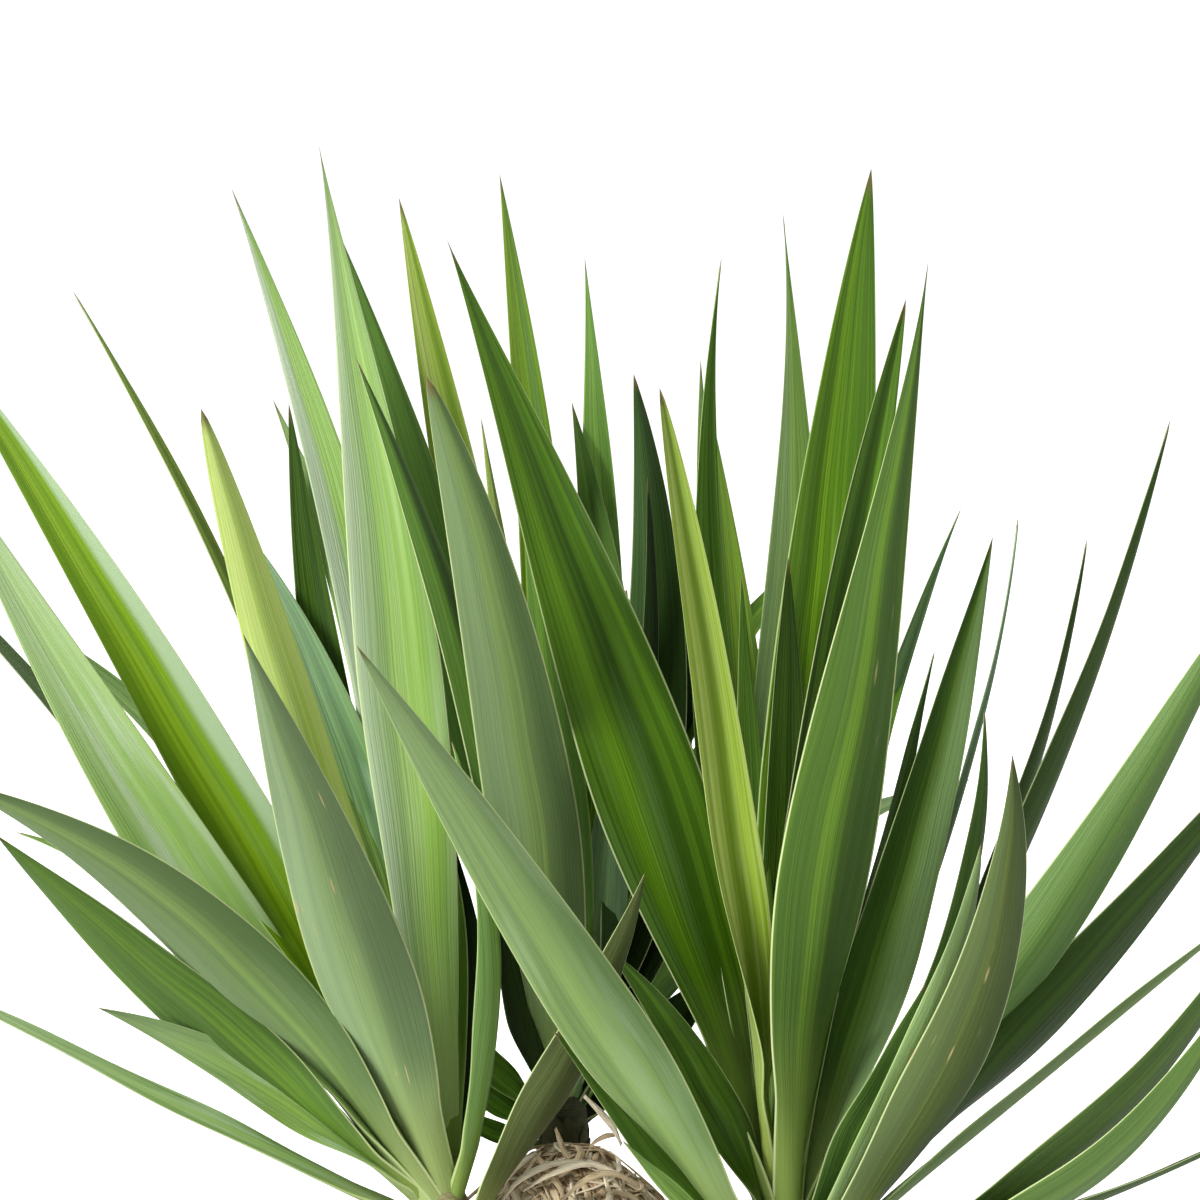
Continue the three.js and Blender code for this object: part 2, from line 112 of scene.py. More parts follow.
def between(first: float, second: float, share: float) -> float:
    """Gives the value a share of the way from first to second."""
    return first + (second - first) * share


def bearing(degrees: float) -> Vector:
    """Gives the level direction at an angle from the x axis."""
    return Vector((math.cos(math.radians(degrees)), math.sin(math.radians(degrees)), 0))


def paint(colour: Screen, share: float = 1.0) -> tuple[float, ...]:
    """Turns a colour as screens show it into the light values that shaders use.

    Args:
        colour: Red, green and blue from 0 to 255, on the screens' usual curve.
        share: How much of the light comes back; on blades it is painted light and shade,
        for blades that stand deeper in shade or shinier in the light.

    Returns:
        Linear red, green and blue, with a full alpha.
    """
    parts = [part / 255 for part in colour]
    lights = [part / 12.92 if part <= 0.04045 else ((part + 0.055) / 1.055) ** 2.4
              for part in parts]
    return (*(light * share for light in lights), 1.0)


class Draws:
    """Seeded draws from 0 to 1, the same ones that place the solids' far leaves."""

    FACTOR = 1664525
    STEP = 1013904223
    RANGE = 2**32

    def __init__(self, seed: int) -> None:
        """Starts the row of draws."""
        self.state = seed

    def next(self) -> float:
        """Gives the next draw."""
        self.state = (self.state * self.FACTOR + self.STEP) % self.RANGE
        return self.state / self.RANGE

    def spread(self, amount: float) -> float:
        """Gives a draw centred on 0 and amount wide."""
        return (self.next() - 0.5) * amount


# Shader nodes


class NodeBench:
    """Places nodes in one tree and joins them."""

    def __init__(self, tree: Tree) -> None:
        """Keeps the tree to work in."""
        self.tree = tree

    def put(self, kind: str, feeds: dict[Any, Any] | None = None, **settings: Any) -> Any:
        """Adds a node.

        Args:
            kind: The node's type name.
            feeds: Values or output sockets, by input name or number.
            **settings: Properties of the node.

        Returns:
            The new node.
        """
        node = self.tree.nodes.new(kind)
        for name, value in settings.items():
            setattr(node, name, value)
        for name, value in (feeds or {}).items():
            if isinstance(value, Socket):
                self.tree.links.new(value, node.inputs[name])
            else:
                node.inputs[name].default_value = value
        return node

    def sum(self, operation: str, *values: Any) -> Socket:
        """Adds a sum of one, two or three values and gives its result."""
        return self.put("ShaderNodeMath", dict(enumerate(values)), operation=operation).outputs[0]

    def times(self, first: Any, second: Any) -> Socket:
        """Multiplies two values."""
        return self.sum("MULTIPLY", first, second)

    def rest(self, share: Any) -> Socket:
        """Gives what a share leaves of 1."""
        return self.sum("SUBTRACT", 1.0, share)

    def mix(self, share: Any, first: Any, second: Any) -> Socket:
        """Blends from the first colour at share 0 to the second at share 1."""
        feeds = {0: share, 6: first, 7: second}
        return self.put("ShaderNodeMix", feeds, data_type="RGBA").outputs[2]

    def ease(self, value: Any, low: float, high: float, top: float = 1.0) -> Socket:
        """Adds a smooth step from 0 at low to top at high."""
        feeds = {0: value, 1: low, 2: high, 3: 0.0, 4: top}
        return self.put("ShaderNodeMapRange", feeds, interpolation_type="SMOOTHSTEP").outputs[0]

    def point(self, across: Any, along: Any, deep: Any) -> Socket:
        """Makes a vector of three values."""
        return self.put("ShaderNodeCombineXYZ", {0: across, 1: along, 2: deep}).outputs[0]

    def parts(self, point: Any) -> Any:
        """Gives the three values of a vector."""
        return self.put("ShaderNodeSeparateXYZ", {0: point}).outputs

    def clouds(self, place: Any, detail: float, scale: Any = 1.0) -> Socket:
        """Adds noise at a place and gives its strength, about 0.3 to 0.7."""
        feeds = {"Vector": place, "Scale": scale, "Detail": detail}
        return self.put("ShaderNodeTexNoise", feeds).outputs[0]

    def give(self, colour: Any, rough: Any, height: Any) -> None:
        """Ends a group with its results."""
        self.put("NodeGroupOutput", {"Color": colour, "Roughness": rough, "Height": height})

    def surface(self, looks: dict[str, Any]) -> None:
        """Ends a material with the shader that shows it."""
        shader = self.put("ShaderNodeBsdfPrincipled", looks)
        self.put("ShaderNodeOutputMaterial", {"Surface": shader.outputs[0]})


def new_group(name: str, colours: dict[str, Any],
              values: dict[str, float]) -> tuple[Tree, NodeBench, Any]:
    """Starts a node group that results in a colour, a roughness and a height.

    Args:
        name: The group's name.
        colours: Colour inputs with their defaults.
        values: Number inputs with their defaults.

    Returns:
        The group, a bench for its nodes and the sockets of its inputs.
    """
    tree = bpy.data.node_groups.new(name, "ShaderNodeTree")
    for kind, inputs in (("NodeSocketColor", colours), ("NodeSocketFloat", values)):
        for label, value in inputs.items():
            socket = tree.interface.new_socket(label, in_out="INPUT", socket_type=kind)
            socket.default_value = value
    for label in ("Color", "Roughness", "Height"):
        kind = "NodeSocketColor" if label == "Color" else "NodeSocketFloat"
        tree.interface.new_socket(label, in_out="OUTPUT", socket_type=kind)
    bench = NodeBench(tree)
    return tree, bench, bench.put("NodeGroupInput").outputs


def new_material(name: str) -> tuple[bpy.types.Material, NodeBench]:
    """Makes a material without nodes.

    Args:
        name: The material's name.

    Returns:
        The material and a bench for its nodes.
    """
    material = bpy.data.materials.new(name)
    material.use_nodes = True
    material.node_tree.nodes.clear()
    return material, NodeBench(material.node_tree)


def finish_material(name: str, group: Tree, feeds: dict[str, Any], relief: float,
                    **shader: float) -> bpy.types.Material:
    """Makes a material whose colour, roughness and height come from one group.

    Args:
        name: The material's name.
        group: A group with the results Color, Roughness and Height.
        feeds: Values for the group's inputs.
        relief: How far the height stands out, in metres.
        **shader: Values for the shader's own sockets, with _ for each space.

    Returns:
        The material.
    """
    material, bench = new_material(name)
    source = bench.put("ShaderNodeGroup", node_tree=group)
    for label, value in feeds.items():
        source.inputs[label].default_value = value
    given = source.outputs
    height = {"Height": given["Height"], "Distance": relief, "Strength": 1.0}
    looks = {
        "Base Color": given["Color"],
        "Roughness": given["Roughness"],
        "Normal": bench.put("ShaderNodeBump", height).outputs[0],
    }
    bench.surface(looks | {label.replace("_", " "): value for label, value in shader.items()})
    return material


@dataclass(frozen=True)
class Streaks:
    """Noise drawn out along a blade: how often it changes each way, and what part of it shows."""

    across: float
    along: float
    layer: float
    detail: float
    shows: Pair


class BladeMarkings:
    """Paints a blade by its own map, which runs round its section and along it."""

    SIDED = (("Glow", "Glow Place"), ("Band", "Band Place"), ("Highlight Strength", "Highlight Side"))
    FINE = Streaks(26.0, 2.0, 0.0, 3.0, (0.34, 0.66))
    MIDDLE = Streaks(8.0, 1.2, 3.1, 2.0, (0.38, 0.62))
    BROAD = Streaks(2.6, 1.4, 7.7, 1.0, (0.38, 0.62))
    PATCH = Streaks(2.0, 4.0, 11.3, 2.0, (0.46, 0.68))
    FINE_SHARE, MIDDLE_SHARE, BROAD_SHARE = 0.15, 0.4, 0.62
    SWAY, SWAYS = 0.7, 2.6
    SHADED = (-0.15, 0.75)
    BAND_SHARPNESS, GLOW_SHARPNESS = 9.0, 16.0
    HALF = 0.5
    SHEEN = (-0.05, 0.6)
    LEAST_EVEN = 0.12
    # Painted highlight: the sheen grows towards the tip, and the underside is paled part of the way
    # towards the highlight colour.
    TIP_HIGHLIGHT = (0.4, 1.0, 0.6)
    UNDERSIDE_PALING = 0.25
    ROOT, TIP, RIM = (0.02, 0.26), (0.965, 0.998), (0.955, 0.985)
    SCAR_COLOUR = (196, 178, 128)
    SCAR_ROWS, SCAR_LENGTHS, SCAR_WANDER = 7.0, 11.0, 0.35
    SCAR_EDGE = (0.08, 0.24)
    CROWD_LENGTHS, CROWD_LAYER, CROWDED = 5.0, 5.3, (0.5, 0.6)
    GLOSS, FROST_GLOSS, FINE_GLOSS = 0.40, 0.14, 0.06

    def __init__(self) -> None:
        """Starts the group and reads the place on the blade."""
        grey = paint((128, 128, 128))
        colours = dict.fromkeys(("Blade", "Light", "Shade", "Frost", "Root", "Tip", "Margin"), grey)
        labels = [label for pair in self.SIDED for label in pair]
        values = dict.fromkeys((*labels, "Highlight Start", "Shade Side", "Edge", "Scars", "Seed"), 0.0)
        self.tree, self.bench, self.given = new_group("blade_markings", colours, values)
        bench, self.seed = self.bench, self.given["Seed"]
        parts = bench.parts(bench.put("ShaderNodeUVMap", uv_map="blade").outputs[0])
        doubled = bench.times(parts[0], 2.0)
        self.under = bench.sum("GREATER_THAN", doubled, 1.0)
        self.level = bench.times(bench.sum("COSINE", bench.times(doubled, math.pi)), -1.0)
        self.along = parts[1]
        place = bench.point(0.0, bench.times(self.along, self.SWAYS), self.seed)
        drift = bench.sum("SUBTRACT", bench.clouds(place, 1.0), 0.5)
        self.across = bench.sum("MULTIPLY_ADD", drift, self.SWAY, self.level)
        self.fine = self.streaks(self.FINE)
        self.middle = self.streaks(self.MIDDLE)

    def streaks(self, kind: Streaks) -> Socket:
        """Adds noise drawn out along the blade.

        Args:
            kind: How fine it is and what part of it shows.

        Returns:
            Its strength, from 0 to 1.
        """
        bench = self.bench
        place = bench.point(bench.times(self.across, kind.across),
                            bench.times(self.along, kind.along),
                            bench.sum("ADD", self.seed, kind.layer))
        return bench.ease(bench.clouds(place, kind.detail), *kind.shows)

    def stripe(self, place: str, sharpness: float) -> Socket:
        """Adds a soft stripe along the blade.

        Args:
            place: The input that says where across the blade it is strongest.
            sharpness: How fast it fades to both sides.

        Returns:
            Its strength, from 0 to 1.
        """
        offset = self.bench.sum("SUBTRACT", self.across, self.given[place])
        square = self.bench.times(offset, offset)
        return self.bench.sum("EXPONENT", self.bench.times(square, -sharpness))

    def body(self) -> Socket:
        """Gives the blade's colour with its streaks, painted shade on one side and in a dark band,
        and a pale glow stripe.

        Returns:
            The colour's socket.
        """
        bench, given = self.bench, self.given
        broad = self.streaks(self.BROAD)
        colour = bench.mix(bench.times(broad, self.BROAD_SHARE), given["Blade"], given["Shade"])
        colour = bench.mix(bench.times(self.middle, self.MIDDLE_SHARE), colour, given["Light"])
        colour = bench.mix(bench.times(self.fine, self.FINE_SHARE), colour, given["Shade"])
        # Painted shade: one side of the blade and a band along it are darkened towards the shade
        # colour.
        side = bench.times(self.across, given["Shade Side"])
        colour = bench.mix(bench.ease(side, *self.SHADED), colour, given["Shade"])
        band = bench.times(self.stripe("Band Place", self.BAND_SHARPNESS), given["Band"])
        colour = bench.mix(band, colour, given["Shade"])
        broken = bench.sum("MULTIPLY_ADD", self.middle, self.HALF, self.HALF)
        glow = bench.times(self.stripe("Glow Place", self.GLOW_SHARPNESS), broken)
        return bench.mix(bench.times(glow, given["Glow"]), colour, given["Light"])

    def frost(self) -> Socket:
        """Gives the painted highlight: pale sheen in patches and at the tip, or on one side.

        Returns:
            The painted highlight's strength.
        """
        bench, given = self.bench, self.given
        sideways = bench.times(self.across, given["Highlight Side"])
        sheen = bench.ease(bench.sum("SUBTRACT", sideways, given["Highlight Start"]), *self.SHEEN)
        even = bench.rest(bench.sum("ABSOLUTE", given["Highlight Side"]))
        even = bench.sum("MAXIMUM", even, self.LEAST_EVEN)
        broken = bench.sum("MULTIPLY_ADD", self.fine, self.HALF, self.HALF)
        brushed = bench.times(self.streaks(self.PATCH), broken)
        tipward = bench.ease(self.along, *self.TIP_HIGHLIGHT)
        all_over = bench.times(bench.sum("MAXIMUM", tipward, brushed), even)
        return bench.times(bench.sum("MAXIMUM", all_over, sheen), given["Highlight Strength"])

    def ends(self, colour: Socket) -> Socket:
        """Adds the pale root, the dry tip and the thin margin.

        Args:
            colour: The colour to paint over.

        Returns:
            The colour with those on it.
        """
        bench, given = self.bench, self.given
        rooted = bench.rest(bench.ease(self.along, *self.ROOT))
        colour = bench.mix(rooted, colour, given["Root"])
        colour = bench.mix(bench.ease(self.along, *self.TIP), colour, given["Tip"])
        rim = bench.ease(bench.sum("ABSOLUTE", self.level), *self.RIM)
        return bench.mix(bench.times(rim, given["Edge"]), colour, given["Margin"])

    def scars(self, colour: Socket) -> Socket:
        """Adds short pale strokes in loose crowds.

        Args:
            colour: The colour to paint over.

        Returns:
            The colour with scars on it.
        """
        bench = self.bench
        rows = bench.times(self.level, self.SCAR_ROWS)
        wander = bench.sum("MULTIPLY_ADD", self.fine, self.SCAR_WANDER, rows)
        place = bench.point(wander, bench.times(self.along, self.SCAR_LENGTHS), self.seed)
        cells = bench.put("ShaderNodeTexVoronoi", {"Vector": place, "Scale": 1.0}).outputs
        picked = bench.parts(cells["Color"])[0]
        place = bench.point(self.level, bench.times(self.along, self.CROWD_LENGTHS),
                            bench.sum("ADD", self.seed, self.CROWD_LAYER))
        crowd = bench.ease(bench.clouds(place, 0.0), *self.CROWDED)
        rare = bench.sum("LESS_THAN", picked, bench.times(crowd, self.given["Scars"]))
        nick = bench.rest(bench.ease(cells["Distance"], *self.SCAR_EDGE))
        return bench.mix(bench.times(nick, rare), colour, paint(self.SCAR_COLOUR))

    def build(self) -> Tree:
        """Joins all the markings.

        Returns:
            The finished group.
        """
        # Painted highlight: the pale sheen of reflected light is laid over the blade's colour.
        bench, pale = self.bench, self.given["Frost"]
        frost = self.frost()
        colour = bench.mix(frost, self.body(), pale)
        colour = bench.mix(bench.times(self.under, self.UNDERSIDE_PALING), colour, pale)
        rough = bench.sum("MULTIPLY_ADD", frost, self.FROST_GLOSS, self.GLOSS)
        rough = bench.sum("MULTIPLY_ADD", self.fine, self.FINE_GLOSS, rough)
        height = bench.sum("MULTIPLY_ADD", self.middle, self.HALF,
                           bench.times(self.fine, self.HALF))
        bench.give(self.scars(self.ends(colour)), rough, height)
        return self.tree


# Each layer of grain: its scale as a share of the finish's, its detail, and what part shows
CLOUD, GRIT, SPECK = (0.22, 4.0, 0.36, 0.66), (1.6, 5.0, 0.35, 0.68), (4.5, 2.0, 0.6, 0.72)
GRIT_SHARE, GRIT_ROUGH, GRAIN_HALF = 0.6, 0.08, 0.5


def grain_group() -> Tree:
    """Builds the markings of dry or earthy stuff: stems, husks, soil, straw bed and clay alike.

    Returns:
        The group.
    """
    colours = dict.fromkeys(("Main", "Dark", "Pale"), paint((128, 128, 128)))
    values = dict.fromkeys(("Scale", "Stretch", "Mottle", "Specks", "Rough"), 1.0)
    tree, bench, given = new_group("grain", colours, values)
    place = bench.parts(bench.put("ShaderNodeTexCoord").outputs["Object"])
    drawn = bench.point(place[0], place[1], bench.times(place[2], given["Stretch"]))

    def layer(share: float, detail: float, low: float, high: float) -> Socket:
        """Adds one layer of grain and gives its strength."""
        scale = bench.times(given["Scale"], share)
        return bench.ease(bench.clouds(drawn, detail, scale), low, high)

    cloud, grit, speck = layer(*CLOUD), layer(*GRIT), layer(*SPECK)
    mottle, pale = given["Mottle"], given["Pale"]
    colour = bench.mix(bench.times(cloud, mottle), given["Main"], given["Dark"])
    colour = bench.mix(bench.times(grit, bench.times(mottle, GRIT_SHARE)), colour, pale)
    colour = bench.mix(bench.times(speck, given["Specks"]), colour, pale)
    smoother = bench.sum("SUBTRACT", given["Rough"], GRIT_ROUGH / 2)
    rough = bench.sum("MULTIPLY_ADD", grit, GRIT_ROUGH, smoother)
    height = bench.sum("MULTIPLY_ADD", cloud, GRAIN_HALF, bench.times(grit, GRAIN_HALF))
    bench.give(colour, rough, height)
    return tree


PALE_STRAW, TAN_STRAW, BROWN_STRAW = (250, 238, 210), (228, 206, 166), (150, 118, 80)
TAN_TONES, BROWN_TONES = (0.15, 0.6), (0.55, 1.0)
TONE_SHIFT = 37.0
FIBRES, FIBRE_LENGTHS, FIBRE_SHOWS, FIBRE_SHARE = 5.0, 2.0, (0.35, 0.65), 0.4
STAIN_LENGTHS, STAIN_SHOWS, STAIN_SHARE = 5.0, (0.52, 0.7), 0.5
STRAW_ROUGH, FIBRE_ROUGH = 0.65, 0.2


def strand_group() -> Tree:
    """Builds the markings of straw, from each strand's own tone and its length.

    Returns:
        The group.
    """
    colours = {"Pale": paint(PALE_STRAW), "Tan": paint(TAN_STRAW), "Brown": paint(BROWN_STRAW)}
    tree, bench, given = new_group("straw_markings", colours, {"Fibre": 1.0})
    tone = bench.put("ShaderNodeAttribute", attribute_name="strand_tone").outputs["Fac"]
    across, along, _ = bench.parts(bench.put("ShaderNodeUVMap", uv_map="strand").outputs[0])
    seed = bench.times(tone, TONE_SHIFT)
    place = bench.point(bench.times(across, FIBRES), bench.times(along, FIBRE_LENGTHS), seed)
    fibre = bench.ease(bench.clouds(place, 3.0), *FIBRE_SHOWS)
    place = bench.point(across, bench.times(along, STAIN_LENGTHS), seed)
    stain = bench.ease(bench.clouds(place, 2.0), *STAIN_SHOWS)
    colour = bench.mix(bench.ease(tone, *TAN_TONES), given["Pale"], given["Tan"])
    colour = bench.mix(bench.ease(tone, *BROWN_TONES), colour, given["Brown"])
    colour = bench.mix(bench.times(fibre, FIBRE_SHARE), colour, given["Tan"])
    colour = bench.mix(bench.times(stain, STAIN_SHARE), colour, given["Brown"])
    rough = bench.sum("MULTIPLY_ADD", fibre, FIBRE_ROUGH, STRAW_ROUGH)
    bench.give(colour, rough, bench.times(fibre, given["Fibre"]))
    return tree


# Finishes


@dataclass(frozen=True)
class LeafColours:
    """The colours of one kind of blade, as seen on a screen."""

    blade: Screen
    light: Screen
    shade: Screen
    # Painted highlight: the pale sheen that reflected light lays on the blade.
    frost: Screen


class Tone(Enum):
    """The kinds of blade, from pale young ones to dark ones deep inside. The darker tones are
    partly the blades' own deep green and partly painted shade for blades in the crown's shadow.
    """

    PALE = LeafColours((166, 196, 122), (152, 196, 70), (112, 152, 66), (192, 208, 180))
    BRIGHT = LeafColours((112, 150, 8), (152, 186, 36), (72, 112, 2), (168, 192, 150))
    LIME = LeafColours((154, 184, 40), (212, 226, 136), (98, 132, 4), (180, 196, 130))
    GREY = LeafColours((108, 136, 66), (144, 172, 96), (62, 88, 30), (160, 184, 144))
    DEEP = LeafColours((56, 90, 2), (96, 138, 24), (28, 54, 0), (110, 144, 86))
    MID = LeafColours((88, 128, 34), (134, 172, 70), (50, 86, 10), (134, 164, 110))
    SAGE = LeafColours((120, 150, 80), (154, 190, 86), (74, 108, 36), (154, 178, 134))
    OLIVE = LeafColours((78, 98, 22), (124, 142, 56), (46, 64, 8), (118, 140, 90))
    BLUE = LeafColours((84, 118, 66), (130, 164, 96), (46, 76, 34), (142, 168, 140))
    DARK = LeafColours((50, 78, 16), (78, 112, 24), (24, 44, 0), (82, 110, 60))
    # Painted shade: a near-black green for blades deep in the crown's shadow.
    IN_SHADOW = LeafColours((26, 46, 2), (46, 76, 10), (10, 22, 0), (50, 76, 34))
    GREEN = LeafColours((68, 106, 2), (116, 158, 26), (38, 70, 0), (118, 150, 90))
    BROWN = LeafColours((88, 102, 38), (116, 132, 64), (58, 72, 20), (124, 140, 92))


@dataclass(frozen=True)
class LeafLook:
    """How one blade's markings lie.

    Glow, band and the pale sheen are a strength and a side each: the band is painted shade
    and the sheen a painted highlight. Sides run from -1, the edge on the left, to 1.
    """

    # Painted light and shade: scales all the blade's colours by how lit or shaded it stands.
    painted_lighting: float = 1.0
    glow: Pair = (0.4, -0.2)
    band: Pair = (0.3, 0.5)
    # Painted highlight: the pale sheen's strength and side, and where across the blade it starts.
    frost: Pair = (0.2, 0.0)
    highlight_start: float = 0.0
    shade: float = 0.0
    edge: float = 0.5
    scars: float = 0.0


PLAIN = LeafLook()


class BladeFinish:
    """Makes the material of each blade from its tone and its look."""

    ROOT = (188, 204, 132)
    TIP = (120, 104, 66)
    MARGIN = (206, 220, 158)
    RELIEF = 0.00016
    SHINE = 0.12

    def __init__(self) -> None:
        """Builds the shared markings once."""
        self.group = BladeMarkings().build()

    def material(self, name: str, blade: Blade, root_glow: float, seed: float,
                 hand: int) -> bpy.types.Material:
        """Makes one blade's material.

        Args:
            name: The blade's name.
            blade: Its record.
            root_glow: How pale its root is, from 0 to 1.
            seed: A number that moves the markings about.
            hand: 1, or -1 where the blade's map runs from right to left.

        Returns:
            The material.
        """
        kind, look = blade.tone.value, blade.look
        root = tuple(round(between(a, b, root_glow)) for a, b in zip(kind.blade, self.ROOT))
        # Painted light and shade: each blade's colours are scaled by its look's first number.
        feeds = {label: paint(getattr(kind, label.lower()), look.painted_lighting)
                 for label in ("Blade", "Light", "Shade", "Frost")}
        feeds |= {"Root": paint(root), "Tip": paint(self.TIP), "Margin": paint(self.MARGIN)}
        sided = (look.glow, look.band, look.frost)
        for (strength, side), pair in zip(BladeMarkings.SIDED, sided):
            feeds |= {strength: pair[0], side: pair[1] * hand}
        feeds |= {"Highlight Start": look.highlight_start, "Shade Side": look.shade * hand,
                  "Edge": look.edge, "Scars": look.scars, "Seed": seed}
        return finish_material(f"{name}_finish", self.group, feeds, self.RELIEF,
                               Specular_IOR_Level=self.SHINE)


@dataclass(frozen=True)
class GrainFinish:
    """A dry or earthy finish."""

    main: Screen
    dark: Screen
    pale: Screen
    scale: float
    stretch: float
    mottle: float
    specks: float
    rough: float
    relief: float

    def material(self, name: str, group: Tree) -> bpy.types.Material:
        """Makes the material.

        Args:
            name: The material's name.
            group: The grain group.

        Returns:
            The material.
        """
        feeds = {label: paint(getattr(self, label.lower())) for label in ("Main", "Dark", "Pale")}
        for label in ("Scale", "Stretch", "Mottle", "Specks", "Rough"):
            feeds[label] = getattr(self, label.lower())
        return finish_material(name, group, feeds, self.relief)


CLAY = GrainFinish((178, 106, 72), (148, 82, 54), (214, 158, 126), 90, 1.6, 0.5, 0.35, 0.88, 0.0004)
SOIL = GrainFinish((54, 39, 28), (28, 20, 14), (120, 100, 80), 420, 1, 0.8, 0.4, 0.97, 0.0012)
STEM = GrainFinish((132, 128, 84), (92, 84, 54), (176, 170, 120), 220, 5, 0.7, 0.3, 0.8, 0.0006)
# Painted shade: the next two finishes are darker copies of the stem and husk finishes, for the back
# shoot that stands in the crown's shadow.
SHADED_STEM = GrainFinish((62, 66, 38), (38, 40, 20), (92, 92, 58), 220, 5, 0.7, 0.3, 0.85, 0.0006)
SHADED_HUSK = GrainFinish((58, 62, 30), (38, 40, 18), (92, 90, 54), 300, 0.25, 0.7, 0.3, 0.9, 0.0004)
HUSK = GrainFinish((166, 138, 98), (116, 88, 58), (206, 184, 146), 300, 0.25, 0.7, 0.3, 0.85,
                   0.0004)
BED = GrainFinish((122, 100, 70), (56, 42, 28), (192, 166, 128), 520, 1, 0.9, 0.4, 0.95, 0.0015)


# Making and placing meshes

# How near corners meet, in metres
MEETING = 1e-6


def mesh_data(name: str, mesh: BMesh) -> bpy.types.Mesh:
    """Turns a bmesh into mesh data and frees it.

    Args:
        name: The data's name.
        mesh: The bmesh.

    Returns:
        The data.
    """
    data = bpy.data.meshes.new(name)
    mesh.to_mesh(data)
    mesh.free()
    return data


def place_data(name: str, data: Any) -> bpy.types.Object:
    """Places mesh, light or camera data in the scene.

    Args:
        name: The object's name.
        data: What the object shows.

    Returns:
        The object.
    """
    thing = bpy.data.objects.new(name, data)
    bpy.context.scene.collection.objects.link(thing)
    return thing


def make_piece(name: str, mesh: BMesh, node: str,
               material: bpy.types.Material) -> bpy.types.Object:
    """Turns a bmesh into a piece that stands for a solid.

    Args:
        name: The piece's name.
        mesh: Its shape, in metres and in place. It is freed.
        node: The solid that it stands for.
        material: Its finish.

    Returns:
        The piece.
    """
    data = mesh_data(name, mesh)
    data.shade_smooth()
    data.materials.append(material)
    piece = place_data(name, data)
    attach(piece, BODY)
    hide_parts(node)
    LOG.info("%s: %d faces", name, len(data.polygons))
    return piece


def lay_grid(mesh: BMesh, columns: int, rows: int,
             spots: Any = None) -> Iterator[tuple[Corner, float, float]]:
    """Adds a flat grid to bend.

    Args:
        mesh: The mesh to add it to.
        columns: How many faces it has across.
        rows: How many faces it has along.
        spots: A map that keeps each corner's place in the grid.

    Yields:
        Each corner, and how far across and along the grid it lies, from 0 to 1.
    """
    corners = bmesh.ops.create_grid(mesh, x_segments=columns, y_segments=rows, size=0.5)["verts"]
    if spots is not None:
        for vert in corners:
            for loop in vert.link_loops:
                loop[spots].uv = (vert.co.x + 0.5, vert.co.y + 0.5)
    for vert in corners:
        yield vert, vert.co.x + 0.5, vert.co.y + 0.5


def open_edges(mesh: BMesh) -> list[bmesh.types.BMEdge]:
    """Merges corners that meet and gives the edges with a face on one side only."""
    bmesh.ops.remove_doubles(mesh, verts=mesh.verts, dist=MEETING)
    return [edge for edge in mesh.edges if edge.is_boundary]


def close_and_face_out(mesh: BMesh) -> None:
    """Merges corners that meet, closes open ends and turns all faces outwards.

    Args:
        mesh: The mesh to mend.
    """
    rims = open_edges(mesh)
    if rims:
        bmesh.ops.holes_fill(mesh, edges=rims, sides=0)
    bmesh.ops.recalc_face_normals(mesh, faces=mesh.faces)


def thicken(mesh: BMesh, thickness: float) -> None:
    """Gives open sheets a thickness in millimetres and turns all faces outwards."""
    bmesh.ops.solidify(mesh, geom=mesh.faces, thickness=thickness * MM)
    bmesh.ops.recalc_face_normals(mesh, faces=mesh.faces)


# Blades


@dataclass(frozen=True)
class Blade:
    """One leaf: its tone, how high it leaves the crown, its middle, its tip and its width."""

    tone: Tone
    rise: float
    middle: Place
    tip: Place
    width: float
    face: float
    look: LeafLook = PLAIN
    taper: float = 1.0
    widest: float = 0.42
    fold: float = 0.25
    sway: float = 0.0
    wave: float = 0.5


@dataclass(frozen=True)
class Stem:
    """A stem from its foot in the soil to its crown."""

    name: str
    crown: Place
    foot: Pair
    radius: float
    first_bearing: float
    last_bearing: float
    far_count: int
    far_seed: int
    root_glow: float = 0.6
    rows: int = 60
    sides: int = 28
    inset: float = 0.4
    above_crown: float = 38
    head: float = 0.3
    head_range: Pair = (-8, 8)
    end: float = 0.85
    end_range: Pair = (12, 38)
    ring: float = 0.03
    ring_pitch: float = 1.1
    ring_lean: float = 0.8

    def axis(self, height: float) -> Vector:
        """Gives the stem's middle line, which leans from foot to crown and then stands straight.

        Args:
            height: The height over the pot's underside.

        Returns:
            The middle at that height.
        """
        crown, foot = Vector(self.crown), Vector((*self.foot, STEM_FOOT))
        if height >= crown.z:
            return Vector((crown.x, crown.y, height))
        return foot.lerp(crown, (height - foot.z) / (crown.z - foot.z))

    def shape(self) -> BMesh:
        """Makes a ringed cane that thickens to its crown and ends among the blades.

        Returns:
            The mesh.
        """
        mesh = bmesh.new()
        for vert, around, along in lay_grid(mesh, self.sides, self.rows):
            turn = around * FULL_TURN
            height = between(STEM_FOOT + 1.0, self.crown[2] + self.above_crown, along)
            over = height - self.crown[2]
            swell = 1 + self.head * ease(over, *self.head_range)
            swell -= self.end * ease(over, *self.end_range)
            scar = 1 + self.ring * math.sin(height * self.ring_pitch
                                            + self.ring_lean * math.sin(turn))
            out = Vector((math.cos(turn), math.sin(turn), 0))
            radius = (self.radius - self.inset) * swell * scar
            vert.co = (self.axis(height) + out * radius) * MM
        close_and_face_out(mesh)
        return mesh


